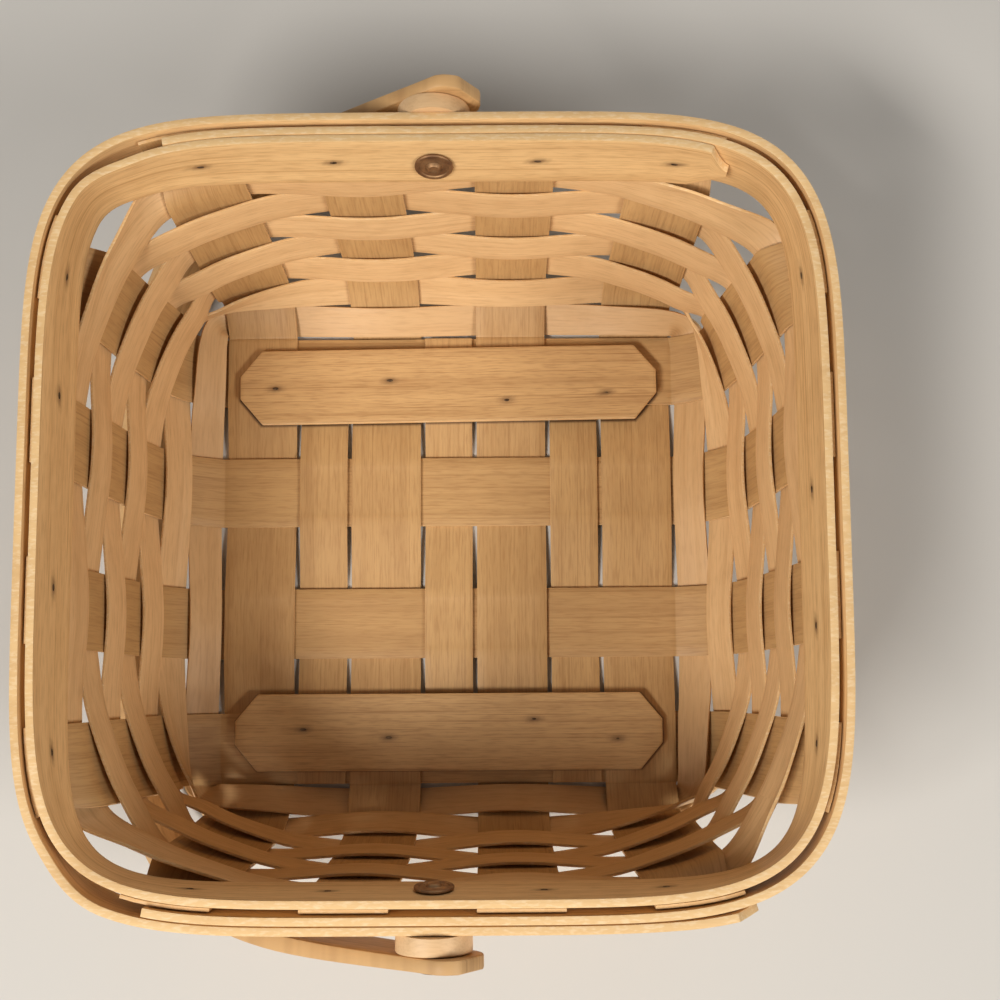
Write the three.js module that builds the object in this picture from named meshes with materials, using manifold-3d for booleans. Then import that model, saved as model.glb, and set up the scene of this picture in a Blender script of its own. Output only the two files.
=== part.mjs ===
// A square splint basket with one swing handle, built the way it is woven:
// splints interlaced in the base turn up as wall uprights, seven weaver rows go round them,
// two bentwood bands grip the tops, and a bentwood bail swings on two rivets.
// Millimetres, +Z up. The origin is on the table under the middle of the base, +Y is the far side.
import * as THREE from 'three';
import Module from 'manifold-3d';

const wasm = await Module();
wasm.setup();

// Air left between two pieces that touch, and how far a cutting tool runs past its cut
const seatGap = 0.3;
const overrun = 2;
// How finely the wall's slope is measured, and the rise over which its tilt is taken
const slopeSteps = 400;
const tiltRise = 0.003;

// Splints: wide ones cross in the base and turn up, narrow fillers stay in the base
const splintWidth = 31.75;
const splintThickness = 1.3;
const ySplintSpacing = 57.6;
const fillerGap = 2.05;
const xSplintMiddleSpacing = 60.8;
const xSplintSideSpacing = 56.5;
const footGap = 1.2;
const splintTopDrop = 1.5;
const flareShare = 0.1;

// Wall: a steep curve out of the base that runs into a nearly straight lean.
// A flare is how much further out the wall is at the rim than at the base.
const rimHeight = 124;
const wallFlareX = 43.6;
const wallFlareY = 41.4;
const rimShift = 2;
const topLean = THREE.MathUtils.degToRad(9.5);
const footRise = 9.5;
const topCornerPower = 5.4;
const bandCornerPower = 7;
const wovenCornerPower = 4.3;
const baseCornerPower = 60;
const cornerRise = 4.5;
const bandBlend = 10;

// Weaver rows
const rowCount = 7;
const curvedRows = 2;
const weaverThickness = 1.2;
const rowGap = 0.35;
const rowStart = 0.6;
const rowTopGap = 1.2;
// A weaver that turns a corner after passing inside an upright is pulled off it by this much
const cornerTuck = 2.5;
const sideGapSteps = 2;
const cornerGapSteps = 6;

// Rim bands: each is one strip that goes round once and laps over itself
const bandHeight = 25.4;
const bandThickness = 3.2;
const bandEase = 0.75;
const lapGap = 0.4;
const bandSideSteps = 3;
const bandCornerSteps = 9;
const tipShare = 0.16;
// Places round the rim, counted in uprights against the clock from the right side's nearest one
const outerBandStart = 11.93;
const outerBandEnd = 31.22;
const innerBandStart = 7.07;
const innerBandEnd = -12.23;
const lapRampStart = 0.6;
const lapRampEnd = 0.15;
const tipTopPlaces = 0.1;
const tipBottomPlaces = 0.18;
// How far the free end of the outer band springs away, and over how much of the rim
const outerTipSpring = 1;
const springPlaces = 0.6;

// Slats nailed across the base
const slatLength = 192;
const slatWidth = 34.5;
const slatThickness = 3;
const slatOffset = 79.8;
const slatCornerX = 10;
const slatCornerY = 12;
const farSlatTurn = THREE.MathUtils.degToRad(0.6);

// Tacks: one place in the slat per tack, as shares of its half length and half width
const tackHeadRadius = 1.7;
const tackHeadThickness = 0.5;
const tackShankRadius = 0.75;
const tackCrownShare = 0.8;
const tackSides = 6;
const farSlatTackShares = [[-0.83, -0.04], [-0.28, 0.13], [0.28, -0.46], [0.76, -0.3]];
const nearSlatTackShares = [[-0.68, 0.08], [-0.28, -0.14], [0.4, 0.32], [0.79, -0.2]];
// Places of the rim tacks along each side, as shares of half that side
const rimTackShares = {
  right: [-0.6, -0.3, 0.05, 0.62],
  far: [0.63, 0.27, -0.26, -0.61],
  left: [0.63, 0.31, -0.19, -0.61],
  near: [-0.6, -0.26, 0.27, 0.57],
};

// Handle: a bentwood bail, its arms outside the rim
const handleWidth = 25;
const handleThickness = 6.6;
const handleEndThickness = 5.2;
const handleTaperRun = 70;
// How far the bail clears the side of the rim when level, and the base when it lies on the table
const handleReach = 17.4;
const handleLanding = 33.7;
const handleTail = 17.5;
const handleTipClip = 6.5;
const handlePower = 3.8;
const handleSteps = 32;
const handleEdge = 1;
const tableClearance = 0.4;

// Pivots
const bushingRadius = 14;
const bushingLength = 8.6;
const bushingSides = 32;
const rivetRadius = 2.6;
const rivetSides = 16;
const headSides = 24;
const innerHeadRadius = 7.4;
const innerHeadThickness = 1.4;
const innerBossRadius = 2.3;
const innerBossHeight = 0.9;
const outerHeadRadius = 6.5;
const outerHeadThickness = 1.8;
const outerCrownShare = 0.6;
const headEdge = 0.6;

// Colours
const splintColour = 0xc99a5b;
const weaverColour = 0xdcb07a;
const bandColour = 0xe0b878;
const slatColour = 0xd0a160;
const handleColour = 0xd8ad6c;
const bushingColour = 0xb98a50;
const rivetColour = 0x6a5238;
const tackColour = 0x4a3a2c;
const splintRoughness = 0.7;
const sandedRoughness = 0.6;
const metalRoughness = 0.45;
const metalShine = 0.9;

// Levels in the base: the X splints lie flat and the Y splints pass over and under them
const crossLift = splintThickness + seatGap;
const baseLevel = crossLift + splintThickness / 2;
const splintCentresX = [-1.5, -0.5, 0.5, 1.5].map((step) => step * ySplintSpacing);
const splintCentresY = [
  xSplintMiddleSpacing / 2 + xSplintSideSpacing,
  xSplintMiddleSpacing / 2,
  -xSplintMiddleSpacing / 2,
  -xSplintMiddleSpacing / 2 - xSplintSideSpacing,
];
const fillerCentres = [0, 1, 2].map((gap) => (splintCentresX[gap] + splintCentresX[gap + 1]) / 2);
const fillerWidth = ySplintSpacing - splintWidth - 2 * fillerGap;
const baseHalf = Math.max(splintCentresX[3], splintCentresY[0]) + splintWidth / 2 + footGap;
const wallTopHalfX = baseHalf + wallFlareX;
const wallTopHalfY = baseHalf + wallFlareY;

// How far up the wall a level lies, from 0 at the base to 1 at the rim
function wallShare(level) {
  return (level - baseLevel) / (rimHeight - baseLevel);
}

// Half the wall's width at a level, for a wall that ends at the given half width
function wallHalf(level, topHalf) {
  const rise = level - baseLevel;
  const straight = Math.tan(topLean);
  const swell = topHalf - baseHalf - straight * (rimHeight - baseLevel);
  return baseHalf + swell * (1 - Math.exp(-rise / footRise)) + straight * rise;
}

// The plan is a superellipse. Its power is high for a square corner and low for a round one:
// nearly square at the base, round in the weave, and squarer again where the bands grip.
const bandBottom = rimHeight - bandHeight * Math.cos(topLean);

function wovenPower(level) {
  const foot = Math.exp(-(level - baseLevel) / cornerRise);
  return wovenCornerPower + (baseCornerPower - wovenCornerPower) * foot;
}

function plan(level) {
  const drop = (rimHeight - level) / (rimHeight - bandBottom);
  const banded = topCornerPower + (bandCornerPower - topCornerPower) * drop;
  const gripped = THREE.MathUtils.smoothstep(level, bandBottom - bandBlend, bandBottom);
  return {
    halfX: wallHalf(level, wallTopHalfX),
    halfY: wallHalf(level, wallTopHalfY),
    middleY: rimShift * wallShare(level),
    power: THREE.MathUtils.lerp(wovenPower(level), banded, gripped),
  };
}

function planValue(x, y, level) {
  const { halfX, halfY, middleY, power } = plan(level);
  return (Math.abs(x) / halfX) ** power + (Math.abs(y - middleY) / halfY) ** power;
}

// Unit vector out of the wall at a point on it
function outward(point) {
  const { halfX, halfY, middleY, power } = plan(point.z);
  const y = point.y - middleY;
  const up = planValue(point.x, point.y, point.z + tiltRise);
  const down = planValue(point.x, point.y, point.z - tiltRise);
  return new THREE.Vector3(
    (power / halfX) * Math.sign(point.x) * (Math.abs(point.x) / halfX) ** (power - 1),
    (power / halfY) * Math.sign(y) * (Math.abs(y) / halfY) ** (power - 1),
    (up - down) / (2 * tiltRise),
  ).normalize();
}

// A spot is a place on the plan, as shares of its half widths
function sideSpot(side, across, level, power = plan(level).power) {
  const { halfX, halfY } = plan(level);
  const alongX = side === 'far' || side === 'near';
  const share = across / (alongX ? halfX : halfY);
  const rest = (1 - Math.min(1, Math.abs(share)) ** power) ** (1 / power);
  const out = side === 'far' || side === 'right' ? rest : -rest;
  return alongX ? { u: share, v: out } : { u: out, v: share };
}

// A spot between two others that stand either side of one corner
function cornerSpot(from, to, share, power) {
  const angleOf = ({ u, v }) => Math.atan2(Math.abs(v) ** (power / 2), Math.abs(u) ** (power / 2));
  const angle = angleOf(from) + share * (angleOf(to) - angleOf(from));
  return {
    u: Math.sign(from.u) * Math.cos(angle) ** (2 / power),
    v: Math.sign(from.v) * Math.sin(angle) ** (2 / power),
  };
}

// The point of the wall at a spot and a level, moved out of the wall by an offset
function wallPoint({ u, v }, level, offset) {
  const { halfX, halfY, middleY } = plan(level);
  const point = new THREE.Vector3(halfX * u, middleY + halfY * v, level);
  return point.addScaledVector(outward(point), offset);
}

// Turns a list of cross-sections into one closed solid. Each section has a front line and
// a back line of points, and the solid is closed with caps unless the sections form a ring.
// Each square is cut along its shorter diagonal, so that pieces on one twisted surface nest.
function ribbonGeometry(sections, isRing) {
  const width = sections[0].front.length;
  const loop = 2 * width;
  const positions = [];
  const faces = [];
  for (const { front, back } of sections) {
    for (const point of [...front, ...back.slice().reverse()]) {
      positions.push(point.x, point.y, point.z);
    }
  }
  const point = (index) => new THREE.Vector3().fromArray(positions, index * 3);
  const spans = isRing ? sections.length : sections.length - 1;
  for (let span = 0; span < spans; span += 1) {
    const here = span * loop;
    const next = ((span + 1) % sections.length) * loop;
    for (let corner = 0; corner < loop; corner += 1) {
      const after = (corner + 1) % loop;
      const [a, b, c, d] = [here + corner, next + corner, next + after, here + after];
      const isShorter = point(a).distanceTo(point(c)) < point(b).distanceTo(point(d));
      faces.push(...(isShorter ? [a, b, c, a, c, d] : [a, b, d, b, c, d]));
    }
  }
  if (!isRing) {
    const last = spans * loop;
    for (let step = 0; step + 1 < width; step += 1) {
      const opposite = loop - 1 - step;
      faces.push(step, step + 1, opposite - 1, step, opposite - 1, opposite);
      faces.push(last + step, last + opposite - 1, last + step + 1);
      faces.push(last + step, last + opposite, last + opposite - 1);
    }
  }
  return closedGeometry(positions, faces);
}

// Indexed geometry with its faces turned outwards
function closedGeometry(positions, faces) {
  const corner = (index) => new THREE.Vector3().fromArray(positions, index * 3);
  let volume = 0;
  for (let face = 0; face < faces.length; face += 3) {
    const [a, b, c] = [corner(faces[face]), corner(faces[face + 1]), corner(faces[face + 2])];
    volume += a.dot(b.cross(c));
  }
  if (volume < 0) faces.reverse();
  const geometry = new THREE.BufferGeometry();
  geometry.setAttribute('position', new THREE.Float32BufferAttribute(positions, 3));
  geometry.setIndex(faces);
  geometry.computeVertexNormals();
  return geometry;
}

function toSolid(geometry) {
  const vertProperties = new Float32Array(geometry.attributes.position.array);
  const triVerts = new Uint32Array(geometry.index.array);
  return new wasm.Manifold(new wasm.Mesh({ numProp: 3, vertProperties, triVerts }));
}

function fromSolid(solid) {
  const { vertProperties, triVerts } = solid.getMesh();
  return closedGeometry(Array.from(vertProperties), Array.from(triVerts));
}

// A round solid about the Z axis from a list of radius and height pairs, bottom to top
function turnedSolid(profile, sides) {
  const positions = [0, 0, profile[0][1]];
  const faces = [];
  for (const [radius, height] of profile) {
    for (let side = 0; side < sides; side += 1) {
      const angle = (side / sides) * 2 * Math.PI;
      positions.push(radius * Math.cos(angle), radius * Math.sin(angle), height);
    }
  }
  positions.push(0, 0, profile[profile.length - 1][1]);
  const top = positions.length / 3 - 1;
  const lastRing = top - sides;
  for (let side = 0; side < sides; side += 1) {
    const after = (side + 1) % sides;
    faces.push(0, 1 + after, 1 + side);
    faces.push(top, lastRing + side, lastRing + after);
    for (let ring = 1; ring < lastRing; ring += sides) {
      const above = ring + sides;
      faces.push(ring + side, ring + after, above + after, ring + side, above + after, above + side);
    }
  }
  return toSolid(closedGeometry(positions, faces));
}

// Moves a solid made about the Z axis so that its Z runs along a direction from a place
function placeAlong(solid, direction, place) {
  const turn = new THREE.Quaternion().setFromUnitVectors(new THREE.Vector3(0, 0, 1), direction);
  const move = new THREE.Matrix4().compose(place, turn, new THREE.Vector3(1, 1, 1));
  return solid.transform(move.elements);
}

function woodMesh(name, geometry, color, roughness) {
  const mesh = new THREE.Mesh(geometry, new THREE.MeshStandardMaterial({ color, roughness, metalness: 0 }));
  mesh.name = name;
  return mesh;
}

function metalMesh(name, geometry, color) {
  const finish = { color, roughness: metalRoughness, metalness: metalShine };
  const mesh = new THREE.Mesh(geometry, new THREE.MeshStandardMaterial(finish));
  mesh.name = name;
  return mesh;
}

// Row levels are spaced evenly along the slope of the wall, from the base to the bands
function levelsAlongSlope(distances) {
  const step = (rimHeight - baseLevel) / slopeSteps;
  const levels = [];
  let travelled = 0;
  for (let index = 0; index < slopeSteps; index += 1) {
    const level = baseLevel + index * step;
    const run = wallHalf(level + step, wallTopHalfX) - wallHalf(level, wallTopHalfX);
    const length = Math.hypot(run, step);
    while (levels.length < distances.length && distances[levels.length] <= travelled + length) {
      levels.push(level + (step * (distances[levels.length] - travelled)) / length);
    }
    travelled += length;
  }
  return levels;
}

function slopeLength(topLevel) {
  const step = (topLevel - baseLevel) / slopeSteps;
  let length = 0;
  for (let index = 0; index < slopeSteps; index += 1) {
    const level = baseLevel + index * step;
    const run = wallHalf(level + step, wallTopHalfX) - wallHalf(level, wallTopHalfX);
    length += Math.hypot(run, step);
  }
  return length;
}

const rowSpacing = (slopeLength(bandBottom) - rowStart - rowTopGap) / rowCount;
const weaverWidth = rowSpacing - rowGap;
const rowLevels = Array.from({ length: rowCount }, (_, row) => {
  const start = rowStart + row * rowSpacing;
  const cuts = row < curvedRows ? [0, weaverWidth / 2, weaverWidth] : [0, weaverWidth];
  return levelsAlongSlope(cuts.map((cut) => start + cut));
});

// The sixteen uprights in order round the basket, seen from above against the clock
const nearToFar = [3, 2, 1, 0];
const uprights = [
  ...nearToFar.map((index) => ({ side: 'right', centre: splintCentresY[index], way: 1 })),
  ...nearToFar.map((index) => ({ side: 'far', centre: splintCentresX[index], way: -1 })),
  ...nearToFar.map((index) => ({ side: 'left', centre: splintCentresY[3 - index], way: -1 })),
  ...nearToFar.map((index) => ({ side: 'near', centre: splintCentresX[3 - index], way: 1 })),
];

// Place along its side of an upright at a level; edge is -1, 0 or 1. Uprights fan out upwards.
function uprightPlace(centre, edge, level) {
  return centre * (1 + flareShare * wallShare(level)) + (edge * splintWidth) / 2;
}

function uprightSpot(upright, edge, level, power) {
  return sideSpot(upright.side, uprightPlace(upright.centre, edge * upright.way, level), level, power);
}

// A spot part of the way from one upright to the next, from the given edges of both
function spotBetween(index, fromEdge, toEdge, share, level, power) {
  const upright = uprights[index % uprights.length];
  const next = uprights[(index + 1) % uprights.length];
  if (next.side === upright.side) {
    const from = uprightPlace(upright.centre, fromEdge * upright.way, level);
    const to = uprightPlace(next.centre, toEdge * next.way, level);
    return sideSpot(upright.side, from + share * (to - from), level, power);
  }
  const start = uprightSpot(upright, fromEdge, level, power);
  return cornerSpot(start, uprightSpot(next, toEdge, level, power), share, power);
}

function isCorner(index) {
  return uprights[index % uprights.length].side !== uprights[(index + 1) % uprights.length].side;
}

// How far out of the wall a weaver runs at an edge of an upright
function weaverOffset(index, row, edge) {
  const sway = (splintThickness + weaverThickness) / 2 + seatGap;
  if ((index + row) % 2 === 1) return sway;
  const corner = (isCorner(index) ? 1 : 0) - (isCorner(index + uprights.length - 1) ? 1 : 0);
  const tuck = corner === 0 ? 0 : (1 + corner * edge) / 2;
  return -sway - tuck * cornerTuck;
}

// A weaver row: out round one upright, in round the next, all the way round.
// Outside an upright it follows the upright; elsewhere it keeps the rounder shape of the weave.
function weaverRow(row) {
  const sections = [];
  const addSection = (spotAt, offset, follow) => {
    const line = (face) => rowLevels[row].map((level) => {
      const power = THREE.MathUtils.lerp(wovenPower(level), plan(level).power, Math.max(0, follow));
      return wallPoint(spotAt(level, power), level, offset + face);
    });
    sections.push({ front: line(weaverThickness / 2), back: line(-weaverThickness / 2) });
  };
  uprights.forEach((upright, index) => {
    const follow = (index + row) % 2 === 1 ? 1 : -1;
    for (const edge of [-1, 0, 1]) {
      const spotAt = (level, power) => uprightSpot(upright, edge, level, power);
      addSection(spotAt, weaverOffset(index, row, edge), follow);
    }
    const from = weaverOffset(index, row, 1);
    const to = weaverOffset((index + 1) % uprights.length, row, -1);
    const steps = isCorner(index) ? cornerGapSteps : sideGapSteps;
    for (let step = 1; step < steps; step += 1) {
      const turned = Math.cos((step / steps) * Math.PI);
      const spotAt = (level, power) => spotBetween(index, 1, -1, step / steps, level, power);
      addSection(spotAt, THREE.MathUtils.lerp(to, from, (1 + turned) / 2), follow * turned);
    }
  });
  return ribbonGeometry(sections, true);
}

// Sections of a splint up one wall, from the base to its end between the bands.
// In the base it lies over or under its neighbour, and it eases on to the wall by the first row.
function uprightSections(side, centre, baseOffset) {
  const levels = [baseLevel, ...rowLevels.flat(), bandBottom, rimHeight - splintTopDrop];
  const firstRowTop = rowLevels[0][rowLevels[0].length - 1];
  return levels.map((level) => {
    const ease = Math.max(0, 1 - (level - baseLevel) / (firstRowTop - baseLevel));
    const offset = -baseOffset * ease;
    const line = (face) => [-1, 0, 1].map((edge) => (
      wallPoint(sideSpot(side, uprightPlace(centre, edge, level), level), level, offset + face)
    ));
    return { front: line(splintThickness / 2), back: line(-splintThickness / 2) };
  });
}

// One flat section of a strip in the base, running along X or along Y
function baseSection(alongY, centre, along, width, lift) {
  const line = (height) => [-1, 0, 1].map((edge) => {
    const across = centre + (edge * width) / 2;
    return alongY ? new THREE.Vector3(across, along, height) : new THREE.Vector3(along, across, height);
  });
  const middle = baseLevel + lift;
  return { front: line(middle - splintThickness / 2), back: line(middle + splintThickness / 2) };
}

// A strip along Y crosses the X splints over or under; neighbours in a pair share their turn
function passesOver(group, crossing) {
  return (group + crossing) % 2 === 0;
}

function weavingSections(centre, width, group) {
  return splintCentresY.flatMap((crossing, index) => {
    const lift = passesOver(group, index) ? crossLift : -crossLift;
    const reach = splintWidth / 2;
    return [crossing + reach, crossing - reach].map((y) => baseSection(true, centre, y, width, lift));
  });
}

function ySplint(index) {
  const centre = splintCentresX[index];
  const offsetAt = (crossing) => (passesOver(index, crossing) ? crossLift : -crossLift);
  return ribbonGeometry([
    ...uprightSections('far', centre, offsetAt(0)).reverse(),
    ...weavingSections(centre, splintWidth, index),
    ...uprightSections('near', centre, offsetAt(3)),
  ], false);
}

function xSplint(index) {
  const centre = splintCentresY[index];
  const reach = splintCentresX[3] + splintWidth / 2;
  return ribbonGeometry([
    ...uprightSections('right', centre, 0).reverse(),
    ...[reach, -reach].map((x) => baseSection(false, centre, x, splintWidth, 0)),
    ...uprightSections('left', centre, 0),
  ], false);
}

function fillerSplint(index) {
  return ribbonGeometry(weavingSections(fillerCentres[index], fillerWidth, index + 1), false);
}

const innerLayer = -(splintThickness / 2 + bandEase + bandThickness / 2);
const outerLayer = -innerLayer;
const layerStep = bandThickness + lapGap;

// A spot at a place round the rim, counted in uprights
function rimSpot(place, level) {
  const lapped = place + uprights.length;
  const index = Math.floor(lapped);
  return spotBetween(index, 0, 0, lapped - index, level, plan(level).power);
}

// Sections of a band. It starts against the uprights, goes once round past its own start,
// climbs on to it and laps over it; the far end is cut to a blunt point and may spring away.
function bandSections(start, end, offset, step, spring) {
  const way = Math.sign(end - start);
  const lapStart = start + way * uprights.length;
  const section = (place) => {
    const passed = (place - lapStart) * way;
    const left = (end - place) * way;
    const climb = THREE.MathUtils.smoothstep(passed, -lapRampStart, -lapRampEnd);
    const layer = offset + step * climb + spring * Math.max(0, 1 - left / springPlaces) ** 2;
    const middle = (bandBottom + rimHeight) / 2;
    const cut = [[bandBottom, tipBottomPlaces], [rimHeight, tipTopPlaces]];
    const line = (face) => cut.map(([edge, places]) => {
      const heightShare = THREE.MathUtils.lerp(tipShare, 1, Math.min(1, left / places));
      const level = middle + (edge - middle) * heightShare;
      return wallPoint(rimSpot(place, level), level, layer + face);
    });
    return { front: line(bandThickness / 2), back: line(-bandThickness / 2) };
  };
  const tipStart = end - way * tipBottomPlaces;
  const spare = (tipBottomPlaces - tipTopPlaces) / 2;
  const between = [];
  for (let index = Math.floor(Math.min(start, end)); index < Math.max(start, end); index += 1) {
    const steps = isCorner(index + uprights.length) ? bandCornerSteps : bandSideSteps;
    for (let part = 0; part < steps; part += 1) between.push(index + part / steps);
  }
  if (way < 0) between.reverse();
  const places = between.filter((place) => (
    (place - start) * way > spare && (tipStart - place) * way > spare
  ));
  return [start, ...places, tipStart, end - way * tipTopPlaces, end].map(section);
}

// Pivot height and the places where the rivets pass through the bands
const pivotHeight = (bandBottom + rimHeight) / 2;
const bandLayersInside = { right: 1, far: 2, left: 1, near: 1 };
const bandLayersOutside = { far: 1, near: 2 };

function layerFace(first, layers) {
  return Math.sign(first) * (Math.abs(first) + bandThickness / 2 + (layers - 1) * layerStep);
}

// Middle of a side's face at the pivot, with the slope of that face
function facePlane(side, offset) {
  const low = wallPoint(sideSpot(side, 0, bandBottom), bandBottom, offset);
  const high = wallPoint(sideSpot(side, 0, rimHeight), rimHeight, offset);
  const share = (pivotHeight - low.z) / (high.z - low.z);
  const up = high.clone().sub(low);
  const normal = new THREE.Vector3(1, 0, 0).cross(up).normalize();
  if (normal.y * Math.sign(low.y) < 0) normal.negate();
  return { point: low.lerp(high, share), normal };
}

function innerFace(side) {
  return facePlane(side, layerFace(innerLayer, bandLayersInside[side]));
}

function outerFace(side) {
  return facePlane(side, layerFace(outerLayer, bandLayersOutside[side]));
}

const widestFace = Math.max(outerFace('far').point.y, -outerFace('near').point.y);
const handleInnerHalf = widestFace + bushingLength + 2 * seatGap;
const handleHalf = handleInnerHalf + handleEndThickness / 2;
const handleLength = Math.max(
  wallTopHalfX + outerLayer + bandThickness / 2 + handleReach,
  Math.hypot(pivotHeight - handleWidth / 2, baseHalf + handleLanding),
);

function rivetHole() {
  const length = 2 * (handleHalf + handleThickness + overrun);
  const radius = rivetRadius + seatGap;
  const bore = turnedSolid([[radius, -length / 2], [radius, length / 2]], rivetSides);
  return placeAlong(bore, new THREE.Vector3(0, 1, 0), new THREE.Vector3(0, 0, pivotHeight));
}

// A tack with its head seated just above height 0 and its shank pointing down
function tack(name, length) {
  const solid = turnedSolid([
    [tackShankRadius, -length],
    [tackShankRadius, seatGap],
    [tackHeadRadius, seatGap],
    [tackHeadRadius * tackCrownShare, seatGap + tackHeadThickness],
  ], tackSides);
  return metalMesh(name, fromSolid(solid), tackColour);
}

function tackHole(length) {
  const radius = tackShankRadius + seatGap;
  return turnedSolid([[radius, -length - overrun], [radius, overrun]], tackSides);
}

// Where the rim tacks go: on the inside face of the inner band, half way up it
function rimTackPlaces() {
  return Object.entries(rimTackShares).flatMap(([side, shares]) => shares.map((share, index) => {
    const along = share * (side === 'far' || side === 'near' ? wallTopHalfX : wallTopHalfY);
    const at = (level, offset) => wallPoint(sideSpot(side, along, level), level, offset);
    const offset = layerFace(innerLayer, bandLayersInside[side]);
    const place = at(bandBottom, offset).lerp(at(rimHeight, offset), 1 / 2);
    return { name: `rim_tack_${side}_${index + 1}`, place, inward: outward(at(pivotHeight, 0)).negate() };
  }));
}

function drilled(geometry, tools) {
  let solid = toSolid(geometry);
  for (const tool of tools) solid = solid.subtract(tool);
  return fromSolid(solid);
}

function innerBand() {
  const sections = bandSections(innerBandStart, innerBandEnd, innerLayer, -layerStep, 0);
  const holes = rimTackPlaces().map(({ place, inward }) => (
    placeAlong(tackHole(bandThickness), inward, place)
  ));
  return drilled(ribbonGeometry(sections, false), [rivetHole(), ...holes]);
}

function outerBand() {
  const sections = bandSections(outerBandStart, outerBandEnd, outerLayer, layerStep, outerTipSpring);
  return drilled(ribbonGeometry(sections, false), [rivetHole()]);
}

// The slats lie on the splints that pass over, with their corners cut off
const slatBottom = baseLevel + crossLift + splintThickness / 2 + seatGap;

function slat(tackShares) {
  const halfX = slatLength / 2;
  const halfY = slatWidth / 2;
  const outline = new THREE.Shape([
    [halfX, halfY - slatCornerY], [halfX - slatCornerX, halfY],
    [slatCornerX - halfX, halfY], [-halfX, halfY - slatCornerY],
    [-halfX, slatCornerY - halfY], [slatCornerX - halfX, -halfY],
    [halfX - slatCornerX, -halfY], [halfX, slatCornerY - halfY],
  ].map(([x, y]) => new THREE.Vector2(x, y)));
  for (const [x, y] of tackShares) {
    const hole = new THREE.Path();
    hole.absarc(x * halfX, y * halfY, tackShankRadius + seatGap, 0, 2 * Math.PI, true);
    outline.holes.push(hole);
  }
  return new THREE.ExtrudeGeometry(outline, {
    depth: slatThickness, bevelEnabled: false, curveSegments: tackSides,
  });
}

// The bail in its own frame: pivot axis along Y through the origin, reaching along -X
function handle() {
  const sections = [];
  const addSection = (x, y, normal, width) => {
    const run = Math.min(1, Math.max(0, -x / handleTaperRun));
    const thickness = handleEndThickness + (handleThickness - handleEndThickness) * run;
    const outer = thickness / 2;
    const line = (face) => [
      [-width / 2, outer - handleEdge], [handleEdge - width / 2, outer],
      [width / 2 - handleEdge, outer], [width / 2, outer - handleEdge],
    ].map(([z, reach]) => new THREE.Vector3(x + normal.x * face * reach, y + normal.y * face * reach, z));
    sections.push({ front: line(1), back: line(-1) });
  };
  const side = new THREE.Vector2(0, 1);
  addSection(handleTail, handleHalf, side, handleWidth - 2 * handleTipClip);
  addSection(handleTail - handleTipClip / 2, handleHalf, side, handleWidth - handleTipClip / 2);
  addSection(handleTail - handleTipClip, handleHalf, side, handleWidth);
  for (let step = 0; step <= handleSteps; step += 1) {
    const angle = (step / handleSteps) * Math.PI;
    const cosine = Math.cos(angle);
    const y = Math.sign(cosine) * Math.abs(cosine) ** (2 / handlePower);
    const x = step % handleSteps === 0 ? 0 : Math.sin(angle) ** (2 / handlePower);
    const normal = new THREE.Vector2(
      -(x ** (handlePower - 1)) / handleLength,
      (Math.sign(y) * Math.abs(y) ** (handlePower - 1)) / handleHalf,
    ).normalize();
    addSection(-x * handleLength, y * handleHalf, normal, handleWidth);
  }
  side.negate();
  addSection(handleTail - handleTipClip, -handleHalf, side, handleWidth);
  addSection(handleTail - handleTipClip / 2, -handleHalf, side, handleWidth - handleTipClip / 2);
  addSection(handleTail, -handleHalf, side, handleWidth - 2 * handleTipClip);
  return drilled(ribbonGeometry(sections, false), [rivetHole().translate([0, 0, -pivotHeight])]);
}

// The angle below level at which the bail's lowest edge just clears the table
function restAngle() {
  const drop = pivotHeight - tableClearance;
  return Math.min(...[[handleEdge, 0], [0, handleEdge]].map(([shorter, narrower]) => {
    const reach = handleLength + handleThickness / 2 - shorter;
    const half = handleWidth / 2 - narrower;
    return Math.asin(drop / Math.hypot(reach, half)) - Math.atan2(half, reach);
  }));
}

// A turned bushing between the outer band and the bail, its inner face cut to the band's lean
function bushing(side) {
  const way = side === 'far' ? 1 : -1;
  const face = outerFace(side);
  const near = face.point.y - way * bushingRadius;
  const length = Math.abs(way * (handleInnerHalf - seatGap) - near);
  const blank = turnedSolid([[bushingRadius, 0], [bushingRadius, length]], bushingSides);
  const place = new THREE.Vector3(0, near, pivotHeight);
  const normal = face.normal.toArray();
  const plane = face.normal.dot(face.point) + seatGap;
  const body = placeAlong(blank, new THREE.Vector3(0, way, 0), place).trimByPlane(normal, plane);
  return fromSolid(body.subtract(rivetHole()));
}

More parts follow.
